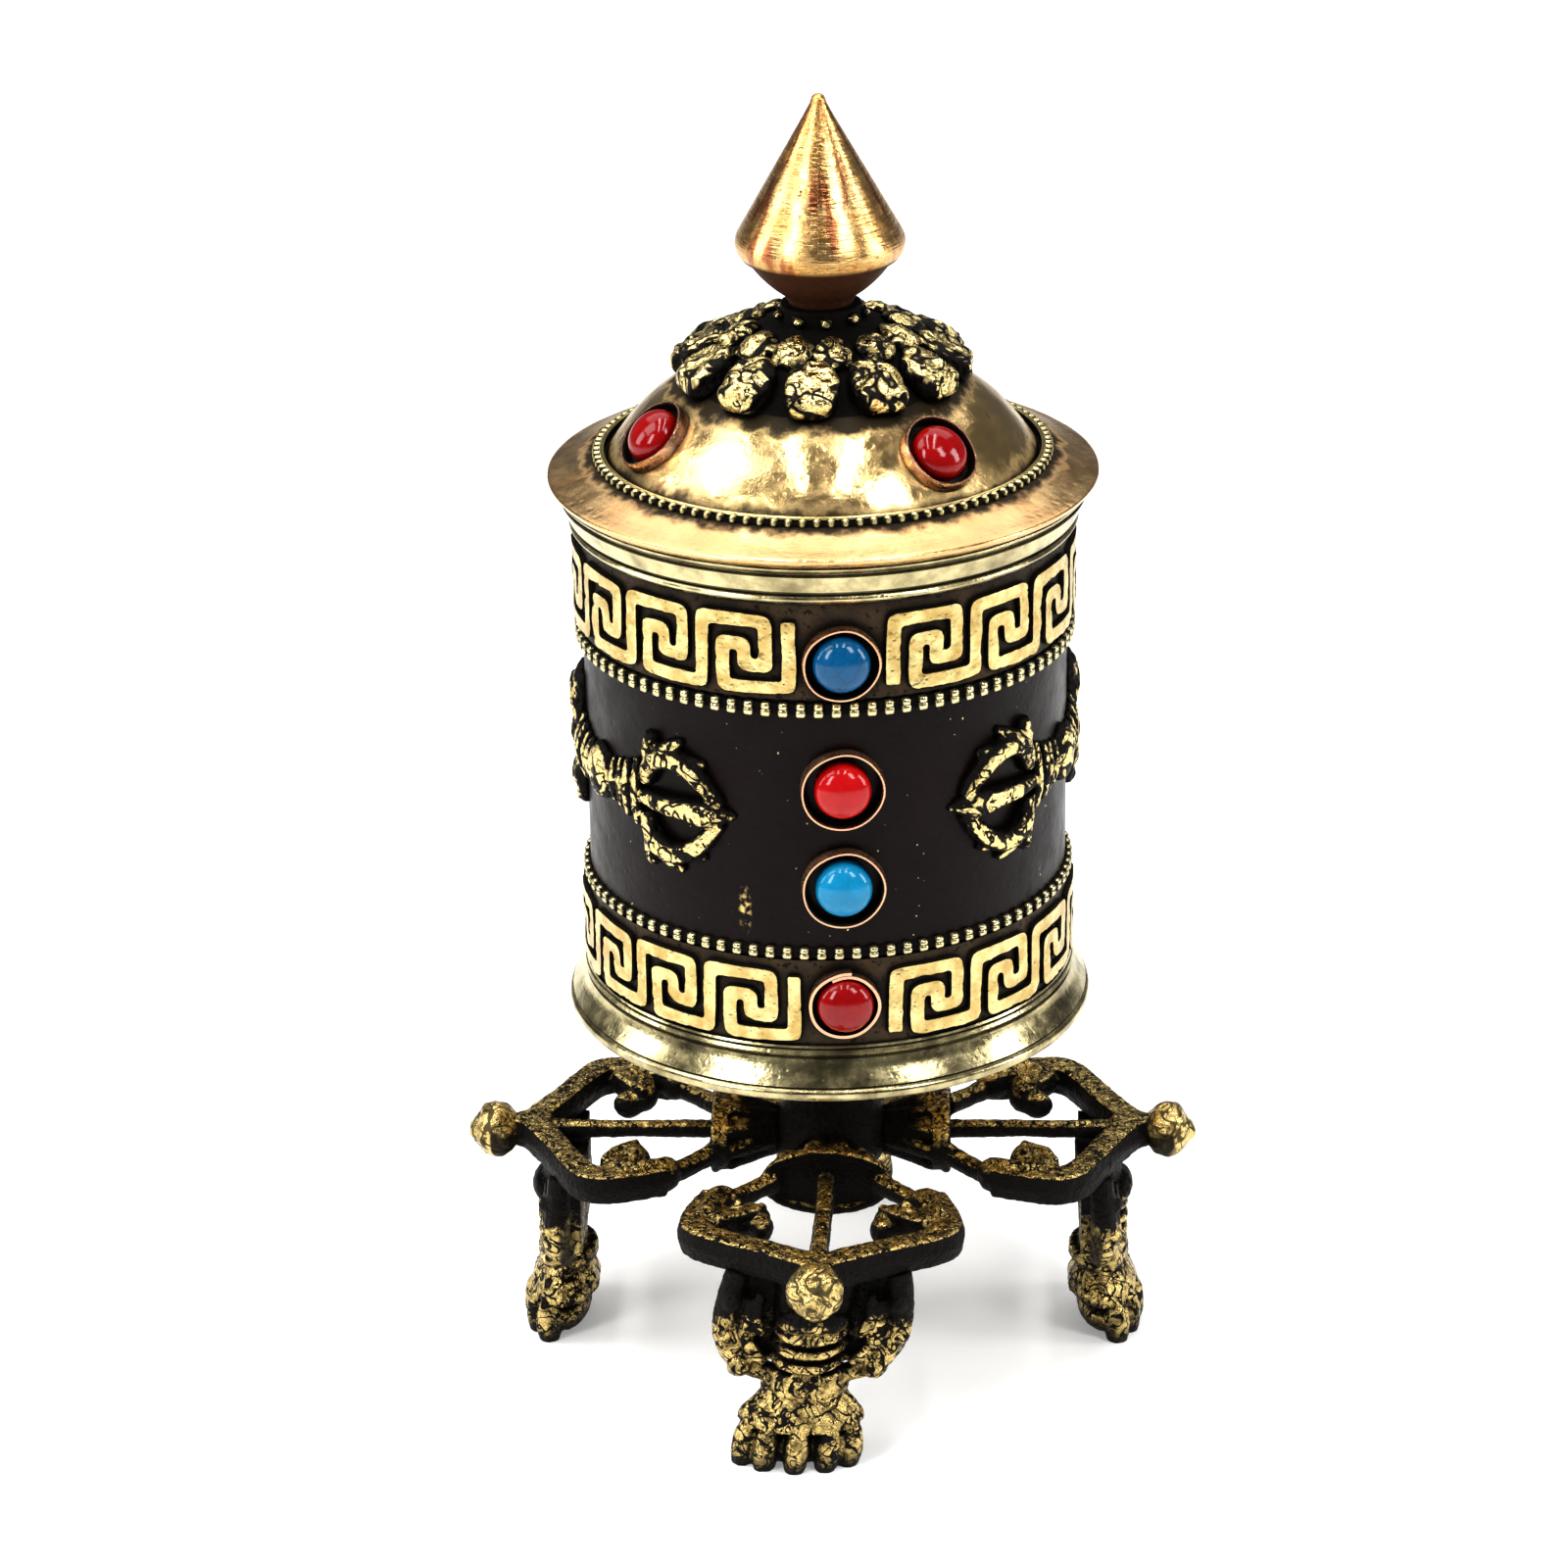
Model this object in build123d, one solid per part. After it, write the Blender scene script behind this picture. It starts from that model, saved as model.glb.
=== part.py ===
"""Table-top prayer wheel: a drum that turns on a spindle, on a crossed-vajra stand with four clawed legs."""
from build123d import *
import math
import os

# ---------------------------------------------------------------- driving dimensions, millimetres
TOTAL_HEIGHT = 135.7

# stand
ARM_AXIS_Z = 22.7            # height of the middle line of the four arms
ARM_TURNS = {"front": -1.3, "right": 90, "back": 180, "left": 270}
LEG_LEANS = {"front": -2.6, "right": 0.6, "back": 0.8, "left": -0.5}   # sideways set of each foot
KNOB_R = 36.3                # distance of the widest part of an arm's bud from the axis
ARM_TIP_R = 38.9
PRONG_SPREAD = 13.0          # half the width across the two side prongs, to their middle lines
COLLAR_IN, COLLAR_OUT = 10.6, 12.7
COLLAR_HALF_WIDTH, COLLAR_HALF_HEIGHT = 6.3, 4.0
LEG_R = 28.4                 # distance of the leg's middle line from the axis
PRONG_DEPTH = 3.2
HUB_BOTTOM_Z, HUB_TOP_Z = 19.0, 37.0
WASHER_TOP_Z = 38.0

# spindle
AXLE_RADIUS = 1.5
RUNNING_FIT = 0.05           # radial clearance of the two bearings
AXLE_TOP_Z = 101.8
CUP_TOP_Z = 103.4

# drum
DRUM_TURN = 5.3              # rest angle of the front column of stones
COLUMN_TURNS = (0, 124, 236)
VAJRA_TURNS = (-68, 68, 180)
SHELL_RADIUS, SHELL_WALL = 24.6, 1.0
SHELL_BOTTOM_Z, SHELL_TOP_Z = 41.0, 95.6
BASE_BOTTOM_Z = 39.5
BASE_RIM_RADIUS = 27.2
TOP_MOULDING_Z = 96.2
BAND_SHEET = 0.35
RELIEF = 0.6
UPPER_BAND = (82.0, 92.1)
UPPER_RELIEF = (82.7, 90.6)
LOWER_BAND = (44.8, 54.1)
LOWER_RELIEF = (45.3, 53.0)
UPPER_WIRE_Z, UPPER_WIRE_RADIUS = 81.0, 0.8
LOWER_WIRE_Z, LOWER_WIRE_RADIUS = 54.9, 0.65
VAJRA_Z = 69.0
VAJRA_RELIEF = 1.6
SCROLL_RADIUS, SCROLL_TOP_Z = 22.4, 91.5
CORE_RADIUS = 3.6

# stones: height of the middle, collar radius, radius of the surface under them
STONE_RADIUS = 2.85
STONE_DOME = 1.8
COLLAR_WALL = 0.4
STONE_ROWS = {
    "turquoise_upper": (86.0, 4.0, 24.95),
    "coral_middle": (72.6, 4.15, 24.6),
    "turquoise_middle": (62.1, 4.15, 24.6),
    "coral_lower": (49.6, 3.6, 24.95),
}
COLLAR_NODES = {
    "turquoise_upper": "bezels_upper",
    "coral_middle": "bezels_coral",
    "turquoise_middle": "bezels_turquoise",
    "coral_lower": "bezels_lower",
}

# lid
BRIM_RADIUS, BRIM_EDGE_Z = 27.7, 97.2
PLATE_BOTTOM_Z, PLATE_TOP_Z = 96.25, 99.0
LID_WIRE_R, LID_WIRE_RADIUS = 22.5, 0.55
DOME_FOOT_R, DOME_WALL = 21.7, 1.0
LID_STONE_TURNS = (39, 169, 299)
LID_STONE_R, LID_STONE_Z, LID_STONE_TILT = 18.1, 103.05, 45
PETALS = 12
PETAL_TIP_R = 15.2
CAP_TOP_Z = 114.6
FINIAL_WIDE_R, FINIAL_WIDE_Z = 8.45, 120.8


# ---------------------------------------------------------------- helpers
def turned(*outline):
    """Solid of revolution about the wheel's axis from (radius, height) corners."""
    return revolve(Plane.XZ * make_face(Polyline(*outline, close=True)), Axis.Z)


def turn(shape, degrees):
    """The shape turned about the wheel's axis; zero faces the front."""
    return Rot(0, 0, degrees) * shape


def tube(outer, inner, low, high):
    """Plain ring about the wheel's axis."""
    return turned((inner, low), (outer, low), (outer, high), (inner, high))


def facing_plane(distance, height, turn_degrees=0):
    """Plane that faces outwards at a distance from the axis."""
    angle = math.radians(turn_degrees)
    origin = (distance * math.sin(angle), -distance * math.cos(angle), height)
    return Plane(origin=origin, x_dir=(math.cos(angle), math.sin(angle), 0), z_dir=(math.sin(angle), -math.cos(angle), 0))


def cabochon(plane, depth):
    """Domed stone whose widest circle lies on the plane, with a stem that reaches back to its seat."""
    ball_radius = (STONE_RADIUS ** 2 + STONE_DOME ** 2) / (2 * STONE_DOME)
    stem = plane.offset(-depth) * extrude(Circle(STONE_RADIUS), amount=depth)
    keep = plane * extrude(Circle(STONE_RADIUS), amount=STONE_DOME + 1)
    ball = plane.offset(STONE_DOME - ball_radius) * Sphere(ball_radius)
    return stem + (keep & ball)


def stone_collar(plane, radius, depth, lip):
    """Thin strip bent round a stone."""
    ring = Circle(radius) - Circle(radius - COLLAR_WALL)
    return plane.offset(-depth) * extrude(ring, amount=depth + lip)


def save(name, shape):
    """Write one node."""
    parts = shape.solids()
    result = parts[0] if len(parts) == 1 else Compound(children=list(parts))
    export_step(result, f"parts/{name}.step")


# ---------------------------------------------------------------- stand
def hub_envelope():
    """The turned hub without its bore: a flat seat below, a belly between the arms, a waisted pillar above."""
    return turned(
        (0, HUB_BOTTOM_Z), (4.4, HUB_BOTTOM_Z), (5.8, 20.6), (6.2, ARM_AXIS_Z), (5.6, 25.0), (3.9, 27.4),
        (3.4, 29.4), (4.6, 31.6), (5.2, 33.0), (4.6, 34.4), (3.3, 35.2), (3.3, HUB_TOP_Z), (0, HUB_TOP_Z),
    )


def stand_hub():
    bore = tube(AXLE_RADIUS, 0, HUB_BOTTOM_Z - 1, HUB_TOP_Z + 1)
    return hub_envelope() - bore


def prong_outline(side):
    """Plan of one side prong: out from the tip, round the shoulder and back to the collar, with an inner curl."""
    path = [
        ((1.0, 31.0), 1.6), ((PRONG_SPREAD - 1.2, 25.9), 1.6), ((PRONG_SPREAD - 0.4, 23.6), 1.6),
        ((PRONG_SPREAD - 1.6, 20.2), 1.5), ((8.6, 16.6), 1.3), ((5.4, COLLAR_OUT - 0.4), 1.0),
    ]
    curl = [((PRONG_SPREAD - 2.2, 20.0), 1.6), ((7.6, 21.6), 1.9)]
    outline = Sketch()
    for chain in (path, curl):
        for (start, width_a), (end, width_b) in zip(chain, chain[1:]):
            a = (side * start[0], -start[1])
            b = (side * end[0], -end[1])
            ends = (Pos(*a) * Circle(width_a)) + (Pos(*b) * Circle(width_b))
            outline += make_hull(ends.edges())
    nose = (Pos(0, -30.8) * Circle(2.5)) + (Pos(0, -33.4) * Circle(1.5))
    return outline + make_hull(nose.edges())


def cast_arm():
    """One vajra arm that points to the front."""
    near = facing_plane(4.6, ARM_AXIS_Z)
    far = facing_plane(COLLAR_IN, ARM_AXIS_Z)
    cone = loft([near * Ellipse(2.3, 2.1), far * Ellipse(5.2, 3.3)])
    collar = far * extrude(Ellipse(COLLAR_HALF_WIDTH, COLLAR_HALF_HEIGHT), amount=COLLAR_OUT - COLLAR_IN)
    rod_start = facing_plane(COLLAR_OUT - 0.5, ARM_AXIS_Z)
    rod = rod_start * extrude(Circle(1.15), amount=31 - COLLAR_OUT)
    base = Pos(0, 0, ARM_AXIS_Z - PRONG_DEPTH / 2)
    prongs = base * extrude(prong_outline(1) + prong_outline(-1), amount=PRONG_DEPTH)
    bud = Plane(origin=(0, 0, ARM_AXIS_Z), x_dir=(0, 0, 1), z_dir=(1, 0, 0))
    bud_face = make_face(Polyline(
        (0, 32.0), (1.4, 32.0), (1.3, 34.4), (2.2, 35.2), (2.6, KNOB_R), (2.3, 37.2), (0.5, ARM_TIP_R), (0, ARM_TIP_R),
        close=True,
    ))
    knob = revolve(bud * bud_face, Axis((0, 0, ARM_AXIS_Z), (0, 1, 0)))
    return cone + collar + rod + prongs + knob


def clawed_leg(lean):
    """One leg under a front arm: scrolled shoulder, ribbed shank, ring, instep and five toes."""
    top = ARM_AXIS_Z - PRONG_DEPTH / 2

    def section(height, half_width, half_depth, out=0.0):
        shift = lean * (1 - height / top)
        return Pos(shift, -(LEG_R + out), height) * Ellipse(half_width, half_depth)

    shoulder_plane = Plane(origin=(0, -(LEG_R + 1.8), 0), x_dir=(1, 0, 0), z_dir=(0, 1, 0))
    outline = [(-9.0, top), (9.0, top), (10.0, 17.0), (7.6, 12.8), (4.2, 10.0)]
    outline += [(-4.2, 10.0), (-7.6, 12.8), (-10.0, 17.0)]
    outline = [(x + lean * (1 - z / top), -z) for x, z in outline]
    shoulder = shoulder_plane * extrude(make_face(Polyline(*outline, close=True)), amount=3.6)
    shank = loft([section(top, 5.4, 2.7), section(15, 4.4, 2.6), section(8.8, 3.9, 2.3)])
    ring = extrude(section(7.9, 4.6, 2.7), amount=1.3)
    instep = loft([section(4.0, 5.6, 3.5, 1.2), section(8.0, 4.0, 2.5, 0.3)])
    sole = extrude(section(0, 5.9, 3.4, 1.4), amount=4.2)
    leg = shoulder + shank + ring + instep + sole
    for step in range(-2, 3):
        angle = math.radians(step * 34)
        x = lean + 5.0 * math.sin(angle)
        y = -(LEG_R + 0.6 + 2.8 * math.cos(angle))
        toe = Pos(x, y, 0) * extrude(Circle(1.35), amount=3.2)
        leg += toe + Pos(x, y, 3.2) * Sphere(1.35)
    floor_cut = Pos(0, -LEG_R, -5) * Box(60, 60, 10)
    return leg - floor_cut


def axle_rod():
    point = CUP_TOP_Z - 1.7
    return turned((0, 16.4), (AXLE_RADIUS, 16.4), (AXLE_RADIUS, AXLE_TOP_Z - 1.2), (0.3, point), (0, point))


def axle_nut():
    bore = tube(AXLE_RADIUS, 0, 10, 30)
    return Pos(0, 0, 16.8) * extrude(RegularPolygon(2.9, 6), amount=HUB_BOTTOM_Z - 16.8) - bore


def thrust_washer():
    return tube(3.6, AXLE_RADIUS, HUB_TOP_Z, WASHER_TOP_Z)


# ---------------------------------------------------------------- drum
def drum_shell():
    return tube(SHELL_RADIUS, SHELL_RADIUS - SHELL_WALL, SHELL_BOTTOM_Z, SHELL_TOP_Z)


def drum_floor():
    return tube(SHELL_RADIUS - SHELL_WALL, 3.0, SHELL_BOTTOM_Z, SHELL_BOTTOM_Z + 1.2)


def lower_bush():
    bore = AXLE_RADIUS + RUNNING_FIT
    low = WASHER_TOP_Z + 0.06
    return turned((bore, low), (4.2, low), (4.2, SHELL_BOTTOM_Z), (3.0, SHELL_BOTTOM_Z), (3.0, 46), (bore, 46))


def core_tube():
    return tube(CORE_RADIUS, 3.0, SHELL_BOTTOM_Z + 1.2, SCROLL_TOP_Z + 1)


def prayer_scroll():
    return tube(SCROLL_RADIUS, CORE_RADIUS, SHELL_BOTTOM_Z + 1.2, SCROLL_TOP_Z)


def scroll_tie():
    return tube(SCROLL_RADIUS + 0.6, SCROLL_RADIUS, 65, 71)


def top_moulding():
    r = SHELL_RADIUS
    return turned(
        (r, UPPER_BAND[1]), (r + 0.9, UPPER_BAND[1] + 0.1), (r + 1.2, 92.8), (r + 0.9, 93.3), (r + 1.3, 93.8),
        (r + 1.8, 94.6), (r + 1.9, 95.3), (r + 1.6, 95.7), (r + 2.3, TOP_MOULDING_Z), (r - SHELL_WALL, TOP_MOULDING_Z),
        (r - SHELL_WALL, SHELL_TOP_Z), (r, SHELL_TOP_Z),
    )


def base_moulding():
    r = SHELL_RADIUS
    lip = r - SHELL_WALL - 1.4
    rim = BASE_RIM_RADIUS
    return turned(
        (r, 44.8), (r + 0.7, 44.7), (r + 0.6, 44.3), (r + 1.0, 44.0), (r + 0.8, 43.4), (r + 1.1, 42.6), (r + 1.8, 41.5),
        (rim - 0.2, 40.9), (rim, 40.3), (rim - 0.3, BASE_BOTTOM_Z), (lip, BASE_BOTTOM_Z), (lip, SHELL_BOTTOM_Z),
        (r, SHELL_BOTTOM_Z),
    )


def relief_band(sheet, relief):
    """Ring of thin sheet with a raised field between each two columns of stones."""
    inner = SHELL_RADIUS
    middle = inner + BAND_SHEET
    band = tube(middle, inner, *sheet)
    raised = tube(middle + RELIEF, inner + 0.1, *relief)
    for column in COLUMN_TURNS:
        gap = Pos(0, -middle, sum(relief) / 2) * Box(9.4, 10, 20)
        raised -= turn(gap, column + DRUM_TURN)
    return band + raised


def bead_wire(height, thickness):
    """Round wire soldered round the drum, flat where it meets the shell."""
    wire = Pos(0, 0, height) * Torus(SHELL_RADIUS + 0.1, thickness)
    return wire - tube(SHELL_RADIUS, 20, height - 2, height + 2)


def vajra(turn_degrees):
    """Cast vajra laid round the drum: two looped heads, rings and a ball, from (angle, half height)."""
    half = [(43, 0.4), (38, 2.6), (34, 4.8), (30, 6.8), (27, 7.1), (24, 6.0), (21, 4.4), (17.5, 3.0), (13, 2.3)]
    half += [(8, 3.4), (4, 2.6), (0, 3.6)]
    radius = SHELL_RADIUS + VAJRA_RELIEF
    right = [(radius * math.sin(math.radians(a)), h) for a, h in half]
    upper = right + [(-x, h) for x, h in reversed(right[:-1])]
    lower = [(x, -h) for x, h in reversed(upper)]
    plate = facing_plane(10, VAJRA_Z) * extrude(make_face(Polyline(*upper, *lower, close=True)), amount=20)
    return turn(plate & tube(radius, SHELL_RADIUS, VAJRA_Z - 10, VAJRA_Z + 10), turn_degrees + DRUM_TURN)


def drum_stone(row, column):
    """One stone and its collar on the drum."""
    height, collar_radius, seat = STONE_ROWS[row]
    plane = facing_plane(seat + 1.0, height)
    cut = tube(seat, 15, height - 6, height + 6)
    stone = cabochon(plane, 2.0) - cut
    collar = stone_collar(plane, collar_radius, 2.0, 0.5) - cut
    return turn(stone, column + DRUM_TURN), turn(collar, column + DRUM_TURN)


# ---------------------------------------------------------------- lid
def dome_solid(inset):
    """The dome's filled shape, smaller by an inset."""
    foot, crown = DOME_FOOT_R - inset, 6.0
    arc = ThreePointArc((foot, PLATE_TOP_Z), (15.9 - inset * 0.75, 105.4 - inset * 0.65), (crown, 111.0 - inset))
    sides = Polyline((crown, 111.0 - inset), (0, 111.6 - inset), (0, PLATE_TOP_Z), (foot, PLATE_TOP_Z))
    return revolve(Plane.XZ * make_face([arc, *sides.edges()]), Axis.Z)


def lid_dome():
    stem = tube(1.5, 0, 100, 115)
    seats = tube(3.0, 0, PLATE_TOP_Z - 1, CUP_TOP_Z)
    return dome_solid(0) - dome_solid(DOME_WALL) - stem - seats


def lid_plate():
    skirt = SHELL_RADIUS - SHELL_WALL - 0.15
    return turned(
        (3.0, PLATE_BOTTOM_Z), (skirt - 1.0, PLATE_BOTTOM_Z), (skirt - 1.0, 93.4), (skirt, 93.4),
        (skirt, PLATE_BOTTOM_Z), (BRIM_RADIUS - 0.5, PLATE_BOTTOM_Z), (BRIM_RADIUS, BRIM_EDGE_Z - 0.3),
        (BRIM_RADIUS - 0.1, BRIM_EDGE_Z + 0.1), (LID_WIRE_R + 0.9, PLATE_TOP_Z), (3.0, PLATE_TOP_Z),
    )


def lid_bush():
    bore = AXLE_RADIUS + RUNNING_FIT
    floor = AXLE_TOP_Z + 0.1
    return turned(
        (bore, 94.9), (4.6, 94.9), (4.6, PLATE_BOTTOM_Z), (3.0, PLATE_BOTTOM_Z), (3.0, CUP_TOP_Z), (0, CUP_TOP_Z),
        (0, floor), (bore, floor),
    )


def lid_bead_wire():
    return (Pos(0, 0, PLATE_TOP_Z + 0.35) * Torus(LID_WIRE_R, LID_WIRE_RADIUS)) - tube(30, 0, 90, PLATE_TOP_Z)


def lid_stone(turn_degrees):
    """One stone and its collar on the dome's slope."""
    tilt = math.radians(LID_STONE_TILT)
    normal = (0, -math.cos(tilt), math.sin(tilt))
    seat = Vector(0, -LID_STONE_R, LID_STONE_Z)
    plane = Plane(origin=seat + Vector(*normal) * 1.1, x_dir=(1, 0, 0), z_dir=normal)
    stone = cabochon(plane, 3.0) - dome_solid(0)
    collar = stone_collar(plane, 3.9, 3.0, 0.4) - dome_solid(0)
    stones = stone.solids().sort_by(SortBy.VOLUME)[-1]
    collars = collar.solids().sort_by(SortBy.VOLUME)[-1]
    return turn(stones, turn_degrees), turn(collars, turn_degrees)


def lotus_cap():
    """Cast flower over the dome: a low cone, twelve blunt drooping petals, twelve smaller ones and a collar."""
    cone = turned(
        (1.5, 110.9), (9.4, 109.6), (12.6, 107.9), (12.8, 109.4), (9.6, 111.8), (5.2, 113.6), (3.9, CAP_TOP_Z),
        (1.5, CAP_TOP_Z),
    )
    cap = cone
    for step in range(PETALS):
        angle = step * 360 / PETALS - 4
        slope = Plane(origin=(0, -11.4, 108.9), x_dir=(1, 0, 0), z_dir=(0, -0.45, 0.89))
        outer = slope * extrude(RectangleRounded(5.0, 7.2, 1.6), amount=1.9)
        cap += turn(outer, angle)
    inner_slope = Plane(origin=(0, -7.8, 111.5), x_dir=(1, 0, 0), z_dir=(0, -0.4, 0.92))
    inner = inner_slope * extrude(RectangleRounded(3.1, 4.0, 1.0), amount=1.4)
    for step in range(PETALS):
        cap += turn(inner, (step + 0.5) * 360 / PETALS - 4)
    under = dome_solid(0)
    reach = tube(PETAL_TIP_R, 1.5, 100, CAP_TOP_Z)
    return (cap - under) & reach


def finial_stud():
    return turned((0, CUP_TOP_Z), (1.5, CUP_TOP_Z), (1.5, 119.0), (0, 119.0))


def finial():
    wide_r, wide_z = FINIAL_WIDE_R, FINIAL_WIDE_Z
    return turned(
        (1.5, CAP_TOP_Z), (3.6, CAP_TOP_Z), (3.7, 115.2), (5.2, 116.0), (7.0, 117.6), (7.9, 118.9), (7.9, 119.6),
        (wide_r, wide_z), (wide_r - 0.15, wide_z + 0.7), (0.5, TOTAL_HEIGHT - 0.3), (0, TOTAL_HEIGHT), (0, 119.0),
        (1.5, 119.0),
    )


# ---------------------------------------------------------------- write every node
def write_stand():
    save("stand_hub", stand_hub())
    arm = cast_arm() - hub_envelope()
    for place, degrees in ARM_TURNS.items():
        save(f"arm_{place}", turn(arm, degrees))
        leg = clawed_leg(LEG_LEANS[place]) - arm
        save(f"leg_{place}", turn(leg, degrees))
    save("axle_rod", axle_rod())
    save("axle_nut", axle_nut())
    save("thrust_washer", thrust_washer())


def write_drum():
    save("drum_shell", drum_shell())
    save("drum_floor", drum_floor())
    save("lower_bush", lower_bush())
    save("core_tube", core_tube())
    save("prayer_scroll", prayer_scroll())
    save("scroll_tie", scroll_tie())
    save("top_moulding", top_moulding())
    save("base_moulding", base_moulding())
    save("upper_band", relief_band(UPPER_BAND, UPPER_RELIEF))
    save("lower_band", relief_band(LOWER_BAND, LOWER_RELIEF))
    save("upper_bead_wire", bead_wire(UPPER_WIRE_Z, UPPER_WIRE_RADIUS))
    save("lower_bead_wire", bead_wire(LOWER_WIRE_Z, LOWER_WIRE_RADIUS))
    for number, degrees in enumerate(VAJRA_TURNS, 1):
        save(f"vajra_{number}", vajra(degrees))
    for row, collar_node in COLLAR_NODES.items():
        collars = []
        for number, column in enumerate(COLUMN_TURNS, 1):
            stone, collar = drum_stone(row, column)
            save(f"{row}_{number}", stone)
            collars += collar.solids()
        save(collar_node, Compound(children=collars))


def write_lid():
    save("lid_plate", lid_plate())
    save("lid_dome", lid_dome())
    save("lid_bush", lid_bush())
    save("lid_bead_wire", lid_bead_wire())
    save("lotus_cap", lotus_cap())
    save("finial_stud", finial_stud())
    save("finial", finial())
    collars = []
    for number, degrees in enumerate(LID_STONE_TURNS, 1):
        stone, collar = lid_stone(degrees)
        save(f"coral_lid_{number}", stone)
        collars += collar.solids()
    save("bezels_lid", Compound(children=collars))


os.makedirs("parts", exist_ok=True)
write_stand()
write_drum()
write_lid()
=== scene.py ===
"""Looks of a table-top prayer wheel: a copper-topped brass drum on a cast crossed-vajra stand.

Every operator models one piece, or one group of like pieces, at its place on the CAD frame.
Shapes are modelled in millimetres and brought to metres when a piece is finished.
"""
import math
import random
from math import cos, pi, radians, sin

import bpy
from mathutils import Matrix, Vector


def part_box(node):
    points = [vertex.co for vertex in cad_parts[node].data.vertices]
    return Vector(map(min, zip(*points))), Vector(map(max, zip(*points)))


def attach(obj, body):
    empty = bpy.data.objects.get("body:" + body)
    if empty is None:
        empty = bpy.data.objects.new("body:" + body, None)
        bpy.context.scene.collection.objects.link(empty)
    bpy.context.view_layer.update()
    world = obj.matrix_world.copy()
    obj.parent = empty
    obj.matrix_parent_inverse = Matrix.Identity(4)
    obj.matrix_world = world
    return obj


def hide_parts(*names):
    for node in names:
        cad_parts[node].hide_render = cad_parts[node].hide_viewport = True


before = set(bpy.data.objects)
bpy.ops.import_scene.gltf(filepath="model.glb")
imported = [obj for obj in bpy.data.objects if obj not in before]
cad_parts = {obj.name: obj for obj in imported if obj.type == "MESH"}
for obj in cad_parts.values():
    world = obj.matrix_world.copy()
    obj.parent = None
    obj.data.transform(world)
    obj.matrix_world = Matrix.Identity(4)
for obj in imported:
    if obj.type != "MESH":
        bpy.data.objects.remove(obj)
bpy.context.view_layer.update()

bl_info = {
    "name": "Table-top Prayer Wheel",
    "version": (1, 0, 0),
    "blender": (4, 5, 0),
    "location": "View3D > Sidebar > Prayer Wheel",
    "description": "Models the pieces, finishes and studio of a table-top prayer wheel",
    "category": "Add Mesh",
}

MM = 1000.0                      # millimetres in a metre
STAND, WHEEL, LID = "stand", "wheel", "lid"
COLUMNS = (1, 2, 3)
PLACES = {"front": -1.3, "right": 90, "back": 180, "left": 270}
OBJECT_MIDDLE = Vector((0, 0, 0.07))   # metres; the lamps and the camera are set about it
LEG_LEANS = {"front": -2.6, "right": 0.6, "back": 0.8, "left": -0.5}


# ---------------------------------------------------------------- measures from the frame, millimetres
def low(node_name, axis=2):
    """Lowest coordinate of a CAD node."""
    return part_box(node_name)[0][axis] * MM


def high(node_name, axis=2):
    """Highest coordinate of a CAD node."""
    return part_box(node_name)[1][axis] * MM


def middle(node_name):
    """Middle of a CAD node's box."""
    lowest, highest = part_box(node_name)
    return (lowest + highest) * MM / 2


def turn_of(node_name):
    """Angle of a node round the wheel's axis in degrees; zero is the front, and it grows to the right."""
    place = middle(node_name)
    return math.degrees(math.atan2(place.x, -place.y))


SHELL_R = high("drum_shell", 0)
BAND_R = high("upper_band", 0)
GROUND_R = SHELL_R + 0.35


# ---------------------------------------------------------------- settings that a user would change
def colour_setting(label, meaning, default):
    """A colour property with its default."""
    return bpy.props.FloatVectorProperty(
        name=label, description=meaning, subtype="COLOR", size=4, min=0.0, max=1.0, default=(*default, 1.0)
    )


def size_setting(label, meaning, default):
    """A size property in millimetres."""
    return bpy.props.FloatProperty(name=label, description=meaning, default=default, min=0.0, soft_max=30.0)


class WheelSizes(bpy.types.PropertyGroup):
    """Sizes of the details, in millimetres unless the description says otherwise."""

    wire_beads: bpy.props.IntProperty(
        name="Wire beads", description="Beads in each ring round the drum", default=91, min=12,
    )
    lid_beads: bpy.props.IntProperty(
        name="Lid beads", description="Teeth in the milled ring of the lid", default=103, min=12,
    )
    petals: bpy.props.IntProperty(
        name="Petals", description="Outer petals of the lotus cap", default=12, min=4,
    )
    fret_stroke: size_setting("Fret stroke", "Half the width of a stroke of the fretwork", 0.74)
    fret_pitch: size_setting("Fret pitch", "Width of one figure of the fretwork", 8.8)
    cast_grain: size_setting("Cast grain", "Depth of the rough skin of the stand", 0.16)
    cast_voxel: size_setting("Cast voxel", "Mesh size of the cast pieces", 0.24)
    collar_wave: size_setting("Collar wave", "Unevenness of the strips round the stones", 0.07)


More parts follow.
